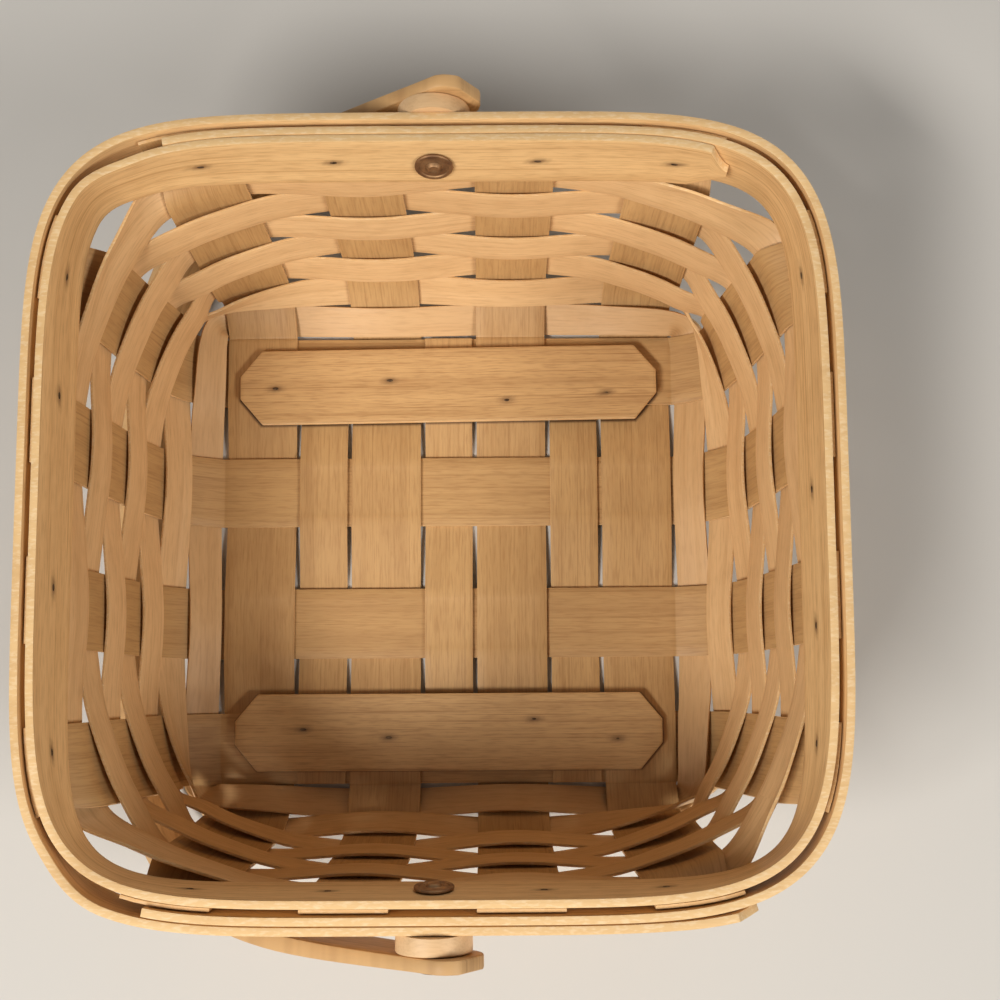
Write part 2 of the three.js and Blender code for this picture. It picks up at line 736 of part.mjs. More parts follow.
// A rivet: pressed head on the inside of the bands, level shank, low head outside the bail
function rivet(side) {
  const way = side === 'far' ? 1 : -1;
  const inner = innerFace(side);
  const inward = inner.normal.clone().negate();
  const head = turnedSolid([
    [innerHeadRadius - headEdge, 0],
    [innerHeadRadius, innerHeadThickness / 2],
    [innerHeadRadius - headEdge, innerHeadThickness],
    [innerBossRadius + headEdge, innerHeadThickness],
    [innerBossRadius, innerHeadThickness + innerBossHeight],
  ], headSides);
  const seat = inner.point.clone().addScaledVector(inward, seatGap);
  const headOut = turnedSolid([
    [outerHeadRadius, 0],
    [outerHeadRadius, outerHeadThickness / 2],
    [outerHeadRadius * outerCrownShare, outerHeadThickness],
  ], headSides);
  const outerSeat = handleInnerHalf + handleEndThickness + seatGap;
  const shankStart = seat.y - way * innerHeadThickness / 2;
  const shankLength = Math.abs(way * (outerSeat + outerHeadThickness / 2) - shankStart);
  const shank = turnedSolid([[rivetRadius, 0], [rivetRadius, shankLength]], rivetSides);
  const axis = new THREE.Vector3(0, way, 0);
  return fromSolid(wasm.Manifold.union([
    placeAlong(head, inward, seat),
    placeAlong(shank, axis, new THREE.Vector3(0, shankStart, pivotHeight)),
    placeAlong(headOut, axis, new THREE.Vector3(0, way * outerSeat, pivotHeight)),
  ]));
}

const basket = new THREE.Group();
for (let index = 0; index < 4; index += 1) {
  basket.add(woodMesh(`y_splint_${index + 1}`, ySplint(index), splintColour, splintRoughness));
  basket.add(woodMesh(`x_splint_${index + 1}`, xSplint(index), splintColour, splintRoughness));
}
for (let index = 0; index < 3; index += 1) {
  basket.add(woodMesh(`filler_splint_${index + 1}`, fillerSplint(index), splintColour, splintRoughness));
}
for (let row = 0; row < rowCount; row += 1) {
  basket.add(woodMesh(`weaver_row_${row + 1}`, weaverRow(row), weaverColour, splintRoughness));
}
basket.add(woodMesh('inner_rim_band', innerBand(), bandColour, sandedRoughness));
basket.add(woodMesh('outer_rim_band', outerBand(), bandColour, sandedRoughness));
for (const { name, place, inward } of rimTackPlaces()) {
  const rimTack = tack(name, bandThickness);
  rimTack.position.copy(place);
  rimTack.quaternion.setFromUnitVectors(new THREE.Vector3(0, 0, 1), inward);
  basket.add(rimTack);
}

const slats = [
  { side: 'far', y: slatOffset, turn: farSlatTurn, shares: farSlatTackShares },
  { side: 'near', y: -slatOffset, turn: 0, shares: nearSlatTackShares },
];
for (const { side, y, turn, shares } of slats) {
  const place = new THREE.Group();
  place.position.set(0, y, slatBottom);
  place.rotation.z = turn;
  place.add(woodMesh(`base_slat_${side}`, slat(shares), slatColour, sandedRoughness));
  shares.forEach(([x, y], index) => {
    const slatTack = tack(`slat_tack_${side}_${index + 1}`, slatThickness);
    slatTack.position.set((x * slatLength) / 2, (y * slatWidth) / 2, slatThickness);
    place.add(slatTack);
  });
  basket.add(place);
}

for (const side of ['far', 'near']) {
  basket.add(woodMesh(`bushing_${side}`, bushing(side), bushingColour, sandedRoughness));
  basket.add(metalMesh(`rivet_${side}`, rivet(side), rivetColour));
}

const bail = new THREE.Group();
bail.position.z = pivotHeight;
bail.rotation.y = -restAngle();
bail.add(woodMesh('handle', handle(), handleColour, sandedRoughness));
basket.add(bail);

export default basket;
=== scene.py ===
# %% [markdown]
# This lesson dresses a square maple-splint basket. Nearly all of it is made of strips of wood:
# splints cross in the base and turn up the walls, weavers go round them, two bent bands grip the
# tops, and a bent bail swings on two rivets. The solids already give each strip its place. They
# are faceted, so here each strip is made again on the same lines, smooth and with its own grain.

# %% Load the frame
import math
import random
import bpy
from mathutils import Matrix, Vector


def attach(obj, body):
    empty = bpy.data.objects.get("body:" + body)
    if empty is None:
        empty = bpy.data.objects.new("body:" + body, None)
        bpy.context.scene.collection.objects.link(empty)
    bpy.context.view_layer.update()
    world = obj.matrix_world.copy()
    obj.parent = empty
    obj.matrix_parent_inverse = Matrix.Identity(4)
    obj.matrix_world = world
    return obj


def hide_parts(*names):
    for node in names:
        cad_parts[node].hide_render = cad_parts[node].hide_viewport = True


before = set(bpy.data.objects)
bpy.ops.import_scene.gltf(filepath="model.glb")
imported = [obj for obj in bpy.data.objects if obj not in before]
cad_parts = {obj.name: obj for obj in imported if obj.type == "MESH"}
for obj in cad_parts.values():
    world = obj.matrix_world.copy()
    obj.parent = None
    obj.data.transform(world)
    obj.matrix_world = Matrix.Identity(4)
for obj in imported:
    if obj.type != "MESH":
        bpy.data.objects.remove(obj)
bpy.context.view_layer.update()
print("nodes:", len(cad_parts))

# %% [markdown]
# The basket's wall has one shape from base to rim, and every strip lies on it. It is described
# as a plan that changes with height: nearly square at the base, round-cornered in the weave,
# squarer again where the bands grip. Writing it once keeps the strips clear of each other.

# %% The wall's sizes in millimetres
MM = 0.001
SEAT_GAP = 0.3
SPLINT_WIDTH = 31.75
SPLINT_THICKNESS = 1.3
Y_SPLINT_SPACING = 57.6
FILLER_GAP = 2.05
X_SPLINT_MIDDLE_SPACING = 60.8
X_SPLINT_SIDE_SPACING = 56.5
FOOT_GAP = 1.2
SPLINT_TOP_DROP = 2.5
FLARE_SHARE = 0.1
RIM_HEIGHT = 124
WALL_FLARE_X = 43.6
WALL_FLARE_Y = 41.4
RIM_SHIFT = 2
TOP_LEAN = math.radians(9.5)
FOOT_RISE = 9.5
BAND_HEIGHT = 25.4
BAND_BOTTOM = RIM_HEIGHT - BAND_HEIGHT * math.cos(TOP_LEAN)
CROSS_LIFT = SPLINT_THICKNESS + SEAT_GAP
BASE_LEVEL = CROSS_LIFT + SPLINT_THICKNESS / 2
CENTRES_X = [step * Y_SPLINT_SPACING for step in (-1.5, -0.5, 0.5, 1.5)]
CENTRES_Y = [
    X_SPLINT_MIDDLE_SPACING / 2 + X_SPLINT_SIDE_SPACING,
    X_SPLINT_MIDDLE_SPACING / 2,
    -X_SPLINT_MIDDLE_SPACING / 2,
    -X_SPLINT_MIDDLE_SPACING / 2 - X_SPLINT_SIDE_SPACING,
]
FILLER_CENTRES = [(CENTRES_X[gap] + CENTRES_X[gap + 1]) / 2 for gap in range(3)]
FILLER_WIDTH = Y_SPLINT_SPACING - SPLINT_WIDTH - 2 * FILLER_GAP
BASE_HALF = max(CENTRES_X[3], CENTRES_Y[0]) + SPLINT_WIDTH / 2 + FOOT_GAP
WALL_TOP_HALF_X = BASE_HALF + WALL_FLARE_X
WALL_TOP_HALF_Y = BASE_HALF + WALL_FLARE_Y


def wall_share(level):
    return (level - BASE_LEVEL) / (RIM_HEIGHT - BASE_LEVEL)


def wall_half(level, top_half):
    """Half the wall's width at a level: a quick curve out of the base, then a straight lean."""
    rise = level - BASE_LEVEL
    straight = math.tan(TOP_LEAN)
    swell = top_half - BASE_HALF - straight * (RIM_HEIGHT - BASE_LEVEL)
    return BASE_HALF + swell * (1 - math.exp(-rise / FOOT_RISE)) + straight * rise


print("base half width", round(BASE_HALF, 1), "rim half width", round(WALL_TOP_HALF_X, 1))

# %% [markdown]
# The plan at each height is a superellipse. Its power says how square the corner is: a high
# power is square and a low one is round. A weaver under tension cuts the corner, so the weave
# is rounder than the bands above it.

# %% The plan of the wall
TOP_CORNER_POWER = 5.4
BAND_CORNER_POWER = 7
WOVEN_CORNER_POWER = 4.3
BASE_CORNER_POWER = 60
CORNER_RISE = 4.5
BAND_BLEND = 10


def smoothstep(value, low, high):
    share = min(1, max(0, (value - low) / (high - low)))
    return share * share * (3 - 2 * share)


def woven_power(level):
    foot = math.exp(-(level - BASE_LEVEL) / CORNER_RISE)
    return WOVEN_CORNER_POWER + (BASE_CORNER_POWER - WOVEN_CORNER_POWER) * foot


def plan(level):
    drop = (RIM_HEIGHT - level) / (RIM_HEIGHT - BAND_BOTTOM)
    banded = TOP_CORNER_POWER + (BAND_CORNER_POWER - TOP_CORNER_POWER) * drop
    gripped = smoothstep(level, BAND_BOTTOM - BAND_BLEND, BAND_BOTTOM)
    power = woven_power(level) + (banded - woven_power(level)) * gripped
    half_x = wall_half(level, WALL_TOP_HALF_X)
    return half_x, wall_half(level, WALL_TOP_HALF_Y), RIM_SHIFT * wall_share(level), power


def plan_value(x, y, level):
    half_x, half_y, middle_y, power = plan(level)
    return (abs(x) / half_x) ** power + (abs(y - middle_y) / half_y) ** power


def outward(point):
    """Unit vector out of the wall at a point on it."""
    half_x, half_y, middle_y, power = plan(point.z)
    y = point.y - middle_y
    step = 0.003
    above, below = (plan_value(point.x, point.y, point.z + way * step) for way in (1, -1))
    return Vector((
        power / half_x * math.copysign((abs(point.x) / half_x) ** (power - 1), point.x),
        power / half_y * math.copysign((abs(y) / half_y) ** (power - 1), y),
        (above - below) / (2 * step),
    )).normalized()


def side_spot(side, across, level, power=None):
    """A place on the plan, as shares of its half widths."""
    half_x, half_y, _, own_power = plan(level)
    power = power or own_power
    along_x = side in ("far", "near")
    share = across / (half_x if along_x else half_y)
    rest = (1 - min(1, abs(share)) ** power) ** (1 / power)
    out = rest if side in ("far", "right") else -rest
    return (share, out) if along_x else (out, share)


def corner_spot(start, end, share, power):
    """A place between two others that stand either side of one corner."""
    def angle_of(spot):
        return math.atan2(abs(spot[1]) ** (power / 2), abs(spot[0]) ** (power / 2))
    angle = angle_of(start) + share * (angle_of(end) - angle_of(start))
    return (
        math.copysign(max(0, math.cos(angle)) ** (2 / power), start[0]),
        math.copysign(max(0, math.sin(angle)) ** (2 / power), start[1]),
    )


def wall_point(spot, level, offset):
    half_x, half_y, middle_y, _ = plan(level)
    point = Vector((half_x * spot[0], middle_y + half_y * spot[1], level))
    return point + outward(point) * offset


corner = corner_spot((1, 0.01), (0.01, 1), 0.5, TOP_CORNER_POWER)
print("corner of the plan at the rim:", round(wall_point(corner, RIM_HEIGHT, 0).x, 1), "mm out")

# %% [markdown]
# Sixteen uprights stand round the wall, four a side. They are counted against the clock from the
# right side's nearest one, and a place on the rim can then be given as a number of uprights.

# %% The sixteen uprights
UPRIGHTS = (
    [("right", CENTRES_Y[index], 1) for index in (3, 2, 1, 0)]
    + [("far", CENTRES_X[index], -1) for index in (3, 2, 1, 0)]
    + [("left", CENTRES_Y[index], -1) for index in (0, 1, 2, 3)]
    + [("near", CENTRES_X[index], 1) for index in (0, 1, 2, 3)]
)
UPRIGHT_COUNT = len(UPRIGHTS)


def upright_place(centre, edge, level):
    """Place along its side of an upright at a level. Uprights fan out upwards."""
    return centre * (1 + FLARE_SHARE * wall_share(level)) + edge * SPLINT_WIDTH / 2


def upright_spot(upright, edge, level, power=None):
    side, centre, way = upright
    return side_spot(side, upright_place(centre, edge * way, level), level, power)


def spot_between(index, share, level, power):
    """A place part of the way from the middle of one upright to the middle of the next."""
    here = UPRIGHTS[index % UPRIGHT_COUNT]
    after = UPRIGHTS[(index + 1) % UPRIGHT_COUNT]
    if here[0] == after[0]:
        start = upright_place(here[1], 0, level)
        end = upright_place(after[1], 0, level)
        return side_spot(here[0], start + share * (end - start), level, power)
    start = upright_spot(here, 0, level, power)
    return corner_spot(start, upright_spot(after, 0, level, power), share, power)


def is_corner(index):
    return UPRIGHTS[index % UPRIGHT_COUNT][0] != UPRIGHTS[(index + 1) % UPRIGHT_COUNT][0]


def passes_outside(index, row):
    """Whether a weaver row passes outside an upright. Rows and uprights take turns."""
    return (index + row) % 2 == 1


print("uprights:", UPRIGHT_COUNT)

# %% [markdown]
# Seven weaver rows fill the wall from the base to the bands. They are packed down tight, so they
# are spaced evenly along the slope of the wall and not by height.

# %% Levels of the seven rows
ROW_COUNT = 7
ROW_GAP = 0.35
ROW_START = 0.6
ROW_TOP_GAP = 1.2
SLOPE_STEPS = 400


def slope_table(top_level):
    """Pairs of distance along the wall's slope and level, from the base up."""
    step = (top_level - BASE_LEVEL) / SLOPE_STEPS
    table = [(0, BASE_LEVEL)]
    for index in range(SLOPE_STEPS):
        level = BASE_LEVEL + index * step
        run = wall_half(level + step, WALL_TOP_HALF_X) - wall_half(level, WALL_TOP_HALF_X)
        table.append((table[-1][0] + math.hypot(run, step), level + step))
    return table


SLOPE = slope_table(BAND_BOTTOM)


def level_at(distance):
    for (start, low), (end, high) in zip(SLOPE, SLOPE[1:]):
        if distance <= end:
            return low + (high - low) * (distance - start) / (end - start)
    return SLOPE[-1][1]


ROW_SPACING = (SLOPE[-1][0] - ROW_START - ROW_TOP_GAP) / ROW_COUNT
WEAVER_WIDTH = ROW_SPACING - ROW_GAP
print("row spacing", round(ROW_SPACING, 2), "mm, weaver width", round(WEAVER_WIDTH, 2), "mm")

# %% [markdown]
# A few short helpers do what is done to every piece: name the primitive that was just added,
# apply a modifier, smooth the shading, attach it to its body and hide the solids that it replaces.

# %% Helpers for the pieces
def lone(name):
    """Names the primitive that was just added and returns it."""
    piece = bpy.context.object
    piece.name = name
    piece.data.name = name
    return piece


def apply_modifier(piece, kind, **settings):
    modifier = piece.modifiers.new(kind.title(), kind)
    for key, value in settings.items():
        setattr(modifier, key, value)
    bpy.context.view_layer.objects.active = piece
    bpy.ops.object.modifier_apply(modifier=modifier.name)


def finish_piece(piece, angle=40):
    bpy.ops.object.select_all(action="DESELECT")
    piece.select_set(True)
    bpy.context.view_layer.objects.active = piece
    bpy.ops.object.shade_smooth_by_angle(angle=math.radians(angle))
    piece.select_set(False)


def edit_all():
    """Opens the active piece in edit mode, with all of it selected."""
    bpy.ops.object.mode_set(mode="EDIT")
    bpy.ops.mesh.select_all(action="SELECT")


def dress(piece, body, slot, *nodes):
    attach(piece, body)
    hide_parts(*nodes)


def point_values(piece, name, value_at):
    """Stores a value on each point of a piece, for its material to read."""
    values = piece.data.attributes.new(name, "FLOAT", "POINT")
    for vertex in piece.data.vertices:
        values.data[vertex.index].value = value_at(vertex.co)


print("helpers: 6")

# %% [markdown]
# A bent strip is described by its sections: lines of points across it, one after the other along
# its length. These helpers draw a smooth curve through a few sections, keep a strip off the
# table, and tell how dark a nail has stained the wood at a place.

# %% Sections and stains
STAIN_STRETCH = 2.6
TABLE_GAP = 0.05


def smooth_path(keys, steps):
    """Passes a smooth curve through a list of sections, with steps between each two."""
    sections = []
    last = len(keys) - 1
    for index in range(last):
        before, here = keys[max(0, index - 1)], keys[index]
        after, beyond = keys[index + 1], keys[min(last, index + 2)]
        for step in range(steps):
            t = step / steps
            sections.append([
                0.5 * ((2 * b) + (c - a) * t + (2 * a - 5 * b + 4 * c - d) * t * t
                       + (3 * b - a - 3 * c + d) * t ** 3)
                for a, b, c, d in zip(before, here, after, beyond)
            ])
    sections.append(keys[-1])
    return sections


def off_table(sections, thickness):
    """Lifts what would dip below the table that the basket stands on."""
    for line in sections:
        for point in line:
            point.z = max(point.z, thickness / 2 + TABLE_GAP)
    return sections


def stain_at(place, marks):
    """How dark a nail has stained the wood at a place: 1 at the nail, 0 a few millimetres off."""
    darkest = 0.0
    for centre, grain, reach in marks:
        away = place / MM - centre
        run = away.dot(grain)
        off = (away - grain * run).length
        spread = (run / (STAIN_STRETCH * reach)) ** 2 + (off / reach) ** 2
        darkest = max(darkest, math.exp(-spread))
    return darkest


trial_nail = (Vector((0, 0, 0)), Vector((1, 0, 0)), 1.4)
trial_stain = stain_at(Vector((2 * MM, 0, 0)), [trial_nail])
print("2 mm along the grain from a nail the stain is", round(trial_stain, 2))

# %% [markdown]
# Every strip is modelled the same way as by hand: a flat grid is added, laid along its path,
# given its thickness with Solidify and its worn edges with Bevel. A curve with a flat profile
# would be quicker, but it only tilts and tapers as a whole, and a strip on this wall bends across
# its width too.
# The grid's own UV map is set in metres, along the strip and across it, so the grain follows the
# strip round every bend. The tone moves the map, so that no two strips show the same grain.
# Each point also holds how much a nail has stained the wood there, and how dark the strip is
# made by its age and, on the splints, by painted shade.

# %% A strip of wood
WELD = 0.01
BEVEL_ANGLE = math.radians(50)


def running_lengths(points):
    """How far along a line of points each one lies."""
    lengths = [0.0]
    for before, after in zip(points, points[1:]):
        lengths.append(lengths[-1] + (after - before).length)
    return lengths


def strip(name, sections, thickness, edge, closed=False, tone=0.0, thickness_shares=None, marks=(),
          age_and_shade=0.0):
    """A bent strip. Sections run along it, each a line of points across it, in millimetres."""
    laid = sections + sections[:1] if closed else sections
    rows, columns = len(laid), len(laid[0])
    bpy.ops.object.select_all(action="DESELECT")
    bpy.ops.mesh.primitive_grid_add(x_subdivisions=columns - 1, y_subdivisions=rows - 1, size=1)
    piece = lone(name)
    mesh = piece.data
    for _ in ("faces", "cut edges"):
        mesh.materials.append(None)
    along = running_lengths([line[columns // 2] for line in laid])
    width = running_lengths(laid[0])
    places = {}
    for vertex in mesh.vertices:
        column = round((vertex.co.x + 0.5) * (columns - 1))
        row = round((vertex.co.y + 0.5) * (rows - 1))
        places[vertex.index] = (row, column)
        vertex.co = laid[row][column] * MM
    uv_map = mesh.uv_layers.active
    uv_map.name = "Grain"
    for loop in mesh.loops:
        row, column = places[loop.vertex_index]
        uv_map.data[loop.index].uv = (along[row] * MM, width[column] * MM + tone)
    settings = {"thickness": thickness * MM, "offset": 0, "material_offset_rim": 1}
    if thickness_shares:
        group = piece.vertex_groups.new(name="thickness")
        for vertex in mesh.vertices:
            group.add([vertex.index], thickness_shares[places[vertex.index][0]], "REPLACE")
        settings.update(vertex_group="thickness", thickness_vertex_group=0)
    if closed:
        edit_all()
        bpy.ops.mesh.remove_doubles(threshold=WELD * MM)
        bpy.ops.object.mode_set(mode="OBJECT")
    apply_modifier(piece, "SOLIDIFY", **settings)
    apply_modifier(piece, "BEVEL", width=edge * MM, segments=2, limit_method="ANGLE",
                   angle_limit=BEVEL_ANGLE)
    point_values(piece, "stain", lambda place: stain_at(place, marks))
    point_values(piece, "age_and_shade", lambda place: age_and_shade)
    piece.vertex_groups.clear()
    finish_piece(piece)
    return piece


trial_line = [Vector((2 * step, 0, 0)) for step in range(4)]
print("four points 2 mm apart make a line of", running_lengths(trial_line)[-1], "mm")

# %% [markdown]
# The eight wide splints are the basket's skeleton. Each crosses the base and turns up two walls.
# They could be cut flat and bent with a modifier, but the wall leans and rounds as it rises. So
# each line of a splint is set on the wall's own plan, and gives a little where a row presses.

# %% How a splint lies
ACROSS = 7
EDGES = [2 * step / (ACROSS - 1) - 1 for step in range(ACROSS)]
FOOT_STEPS = 4
PATH_STEPS = 3
GIVE = 0.35
SPLINT_EDGE = 0.25
CROSSING_SHARES = (1, 0.6, 0, -0.6, -1)


def upright_line(side, centre, level, offset):
    return [
        wall_point(side_spot(side, upright_place(centre, edge, level), level), level, offset)
        for edge in EDGES
    ]


def row_push(side, centre, row):
    """-1 where the row passes inside this upright and 1 where it passes outside."""
    index = next(i for i, (s, c, _) in enumerate(UPRIGHTS) if s == side and c == centre)
    return 1 if passes_outside(index, row) else -1


def upright_keys(side, centre, base_offset):
    """Lines up one wall, from the base to the splint's end between the bands."""
    foot_top = level_at(ROW_START + WEAVER_WIDTH)
    lines = []
    for step in range(FOOT_STEPS):
        level = BASE_LEVEL + (foot_top - BASE_LEVEL) * step / FOOT_STEPS
        ease = 1 - (level - BASE_LEVEL) / (foot_top - BASE_LEVEL)
        lines.append(upright_line(side, centre, level, -base_offset * ease))
    for row in range(ROW_COUNT):
        low = ROW_START + row * ROW_SPACING
        if row:
            middle = level_at(low + WEAVER_WIDTH / 2)
            lines.append(upright_line(side, centre, middle, -GIVE * row_push(side, centre, row)))
        lines.append(upright_line(side, centre, level_at(low + WEAVER_WIDTH), 0))
    for level in (BAND_BOTTOM, (BAND_BOTTOM + RIM_HEIGHT) / 2, RIM_HEIGHT - SPLINT_TOP_DROP):
        lines.append(upright_line(side, centre, level, 0))
    return lines


def base_line(along_y, centre, along, width, lift):
    line = []
    for edge in EDGES:
        across = centre + edge * width / 2
        x, y = (across, along) if along_y else (along, across)
        line.append(Vector((x, y, BASE_LEVEL + lift)))
    return line


def lift_at(group, crossing):
    return CROSS_LIFT if (group + crossing) % 2 == 0 else -CROSS_LIFT


def weaving_keys(centre, width, group):
    """Lines across the base of a strip that passes over and under the flat splints."""
    lines = []
    for crossing, middle in enumerate(CENTRES_Y):
        for share in CROSSING_SHARES:
            y = middle + share * SPLINT_WIDTH / 2
            lines.append(base_line(True, centre, y, width, lift_at(group, crossing)))
    return lines


print("lines up one wall:", len(upright_keys("far", CENTRES_X[0], 0)))

# %% [markdown]
# The four splints that run left to right lie flat, and the other four pass over and under them.
# No two splints have darkened alike, so each one gets an age of its own.

# %% The eight wide splints
FLAT_SHARES = (0.97, 0.8, 0.4, 0, -0.4, -0.8, -0.97)
# No two splints have darkened alike. Each one gets a value of its own that is partly its age and
# partly painted shade, which makes the far-to-near splints and the fillers darker towards the left.
Y_SPLINT_AGE_AND_SHADE = (0.55, 0.35, 0.4, 0.2)
X_SPLINT_AGE_AND_SHADE = (0.4, 0.3, 0.45, 0.3)
splint_pieces = []
for index, centre in enumerate(CENTRES_X):
    keys = upright_keys("far", centre, lift_at(index, 0))[::-1]
    keys += weaving_keys(centre, SPLINT_WIDTH, index)
    keys += upright_keys("near", centre, lift_at(index, 3))
    sections = off_table(smooth_path(keys, PATH_STEPS), SPLINT_THICKNESS)
    piece = strip(f"splint_far_near_{index + 1}", sections, SPLINT_THICKNESS, SPLINT_EDGE,
                  tone=index * 0.37, age_and_shade=Y_SPLINT_AGE_AND_SHADE[index])
    dress(piece, "basket", "splint", f"y_splint_{index + 1}")
    splint_pieces.append(piece)

for index, centre in enumerate(CENTRES_Y):
    keys = upright_keys("right", centre, 0)[::-1]
    keys += [base_line(False, centre, share * BASE_HALF, SPLINT_WIDTH, 0)
             for share in FLAT_SHARES]
    keys += upright_keys("left", centre, 0)
    piece = strip(f"splint_left_right_{index + 1}", smooth_path(keys, PATH_STEPS),
                  SPLINT_THICKNESS, SPLINT_EDGE, tone=2.1 + index * 0.41,
                  age_and_shade=X_SPLINT_AGE_AND_SHADE[index])
    dress(piece, "basket", "splint", f"x_splint_{index + 1}")
    splint_pieces.append(piece)

print("wide splints:", len(splint_pieces))

# %% [markdown]
# Three narrow splints fill the slots between the far-to-near ones. They stay in the base, woven
# the same way, and their ends are tucked under the edge.

# %% Filler splints
# Partly age and partly painted shade, darker towards the left
FILLER_AGE_AND_SHADE = (0.35, 0.25, 0.1)
for index, centre in enumerate(FILLER_CENTRES):
    keys = weaving_keys(centre, FILLER_WIDTH, index + 1)
    sections = off_table(smooth_path(keys, PATH_STEPS), SPLINT_THICKNESS)
    piece = strip(f"filler_{index + 1}", sections, SPLINT_THICKNESS, SPLINT_EDGE,
                  tone=4.3 + index * 0.33, age_and_shade=FILLER_AGE_AND_SHADE[index])
    dress(piece, "basket", "splint", f"filler_splint_{index + 1}")
    splint_pieces.append(piece)

print("filler splints: 3, width", round(FILLER_WIDTH, 1), "mm")

# %% [markdown]
# A weaver row is a thin strip that passes inside one upright and outside the next. It is springy,
# so it does not hug the uprights but swings in and out in one smooth wave. Where it turns a
# corner it pulls away from the upright it passed inside, and cuts the corner short.

# %% How far a weaver swings
WEAVER_THICKNESS = 1.2
WEAVER_EASE = 0.15
WEAVER_SWAY = (SPLINT_THICKNESS + WEAVER_THICKNESS) / 2 + SEAT_GAP + WEAVER_EASE
WEAVER_BOW = 1.0
CORNER_TUCK = 2.5


def weaver_curve(index, row):
    """Offsets at an upright's first edge, middle and last edge."""
    if passes_outside(index, row):
        return WEAVER_SWAY, WEAVER_SWAY + WEAVER_BOW, WEAVER_SWAY
    turn = (1 if is_corner(index) else 0) - (1 if is_corner(index - 1) else 0)
    tucks = [0 if turn == 0 else (1 + turn * edge) / 2 * CORNER_TUCK for edge in (-1, 0, 1)]
    bows = (0, WEAVER_BOW, 0)
    return tuple(-WEAVER_SWAY - bow - tuck for bow, tuck in zip(bows, tucks))


def curve_value(values, edge):
    """Offset and slope of the curve through three values, at an edge from -1 to 1."""
    first, middle, last = values
    bend = (first + last) / 2 - middle
    tilt = (last - first) / 2
    return bend * edge * edge + tilt * edge + middle, 2 * bend * edge + tilt


def ease_between(start, end, start_slope, end_slope, share):
    """A cubic from one value and slope to another."""
    square, cube = share ** 2, share ** 3
    return ((2 * cube - 3 * square + 1) * start + (cube - 2 * square + share) * start_slope
            + (3 * square - 2 * cube) * end + (cube - square) * end_slope)


print("weavers swing", round(WEAVER_SWAY, 2), "mm to each side and bow", WEAVER_BOW, "mm more")

# %% [markdown]
# Round a corner the weaver is a free spring between two uprights, one passed inside and one
# outside. A Bezier curve gives that bend: it leaves each upright the way the strip points there,
# and pulls further from the one that the strip passed inside.

# %% Round a corner
CORNER_STEPS = 16
PULL_OUTSIDE = 0.22
PULL_INSIDE = 0.5


def corner_lines(before, start, end, after, start_pull, end_pull):
    """Bends a strip round a corner, from the way it points before to the way it points after."""
    lines = []
    for step in range(1, CORNER_STEPS):
        t = step / CORNER_STEPS
        line = []
        for a, b, c, d in zip(before, start, end, after):
            reach = (c - b).length
            out = b + (b - a).normalized() * start_pull * reach
            back = c - (d - c).normalized() * end_pull * reach
            line.append((1 - t) ** 3 * b + 3 * (1 - t) ** 2 * t * out
                        + 3 * (1 - t) * t ** 2 * back + t ** 3 * c)
        lines.append(line)
    return lines


print("lines round a corner:", CORNER_STEPS - 1)

# %% [markdown]
# One row is laid upright by upright: lines across each upright, then lines over the gap to the
# next one. A slow rise and fall of a tenth of a millimetre keeps the rows from being ruled lines.

# %% The lines of one weaver row
UPRIGHT_STEPS = 6
SIDE_GAP_STEPS = 5
GAP_SLOPE = 1.6
CORNER_EDGE = 0.8
WANDER = 0.12
WANDER_WAVES = (4, 7)


def weaver_sections(row, levels):
    def on_upright(index, edge):
        upright = UPRIGHTS[index % UPRIGHT_COUNT]
        offset, _ = curve_value(weaver_curve(index % UPRIGHT_COUNT, row), edge)
        follow = 1 if passes_outside(index, row) else 0
        line = []
        for level in levels:
            power = woven_power(level) + (plan(level)[3] - woven_power(level)) * follow
            line.append(wall_point(upright_spot(upright, edge, level, power), level, offset))
        return line

    def in_side_gap(index, share):
        here, after = UPRIGHTS[index], UPRIGHTS[(index + 1) % UPRIGHT_COUNT]
        start, start_slope = curve_value(weaver_curve(index, row), 1)
        end, end_slope = curve_value(weaver_curve((index + 1) % UPRIGHT_COUNT, row), -1)
        offset = ease_between(start, end, start_slope * GAP_SLOPE, end_slope * GAP_SLOPE, share)
        follow = max(0, math.cos(share * math.pi) * (1 if passes_outside(index, row) else -1))
        line = []
        for level in levels:
            power = woven_power(level) + (plan(level)[3] - woven_power(level)) * follow
            low = upright_place(here[1], here[2], level)
            high = upright_place(after[1], -after[2], level)
            spot = side_spot(here[0], low + share * (high - low), level, power)
            line.append(wall_point(spot, level, offset))
        return line

    sections = []
    for index in range(UPRIGHT_COUNT):
        for step in range(UPRIGHT_STEPS + 1):
            sections.append(on_upright(index, 2 * step / UPRIGHT_STEPS - 1))
        if is_corner(index):
            pulls = (PULL_OUTSIDE, PULL_INSIDE)
            if not passes_outside(index, row):
                pulls = pulls[::-1]
            sections += corner_lines(on_upright(index, CORNER_EDGE), sections[-1],
                                     on_upright(index + 1, -1),
                                     on_upright(index + 1, -CORNER_EDGE), *pulls)
        else:
            sections += [in_side_gap(index, step / SIDE_GAP_STEPS)
                         for step in range(1, SIDE_GAP_STEPS)]
    phases = [random.uniform(0, 2 * math.pi) for _ in range(2)]
    for place, line in enumerate(sections):
        turn = place / len(sections) * 2 * math.pi
        slow, quick = (math.sin(waves * turn + phase) for waves, phase in zip(WANDER_WAVES, phases))
        rise = Vector((0, 0, WANDER * (slow + quick)))
        for point in line:
            point += rise
    return sections


print("lines across one upright:", UPRIGHT_STEPS + 1)
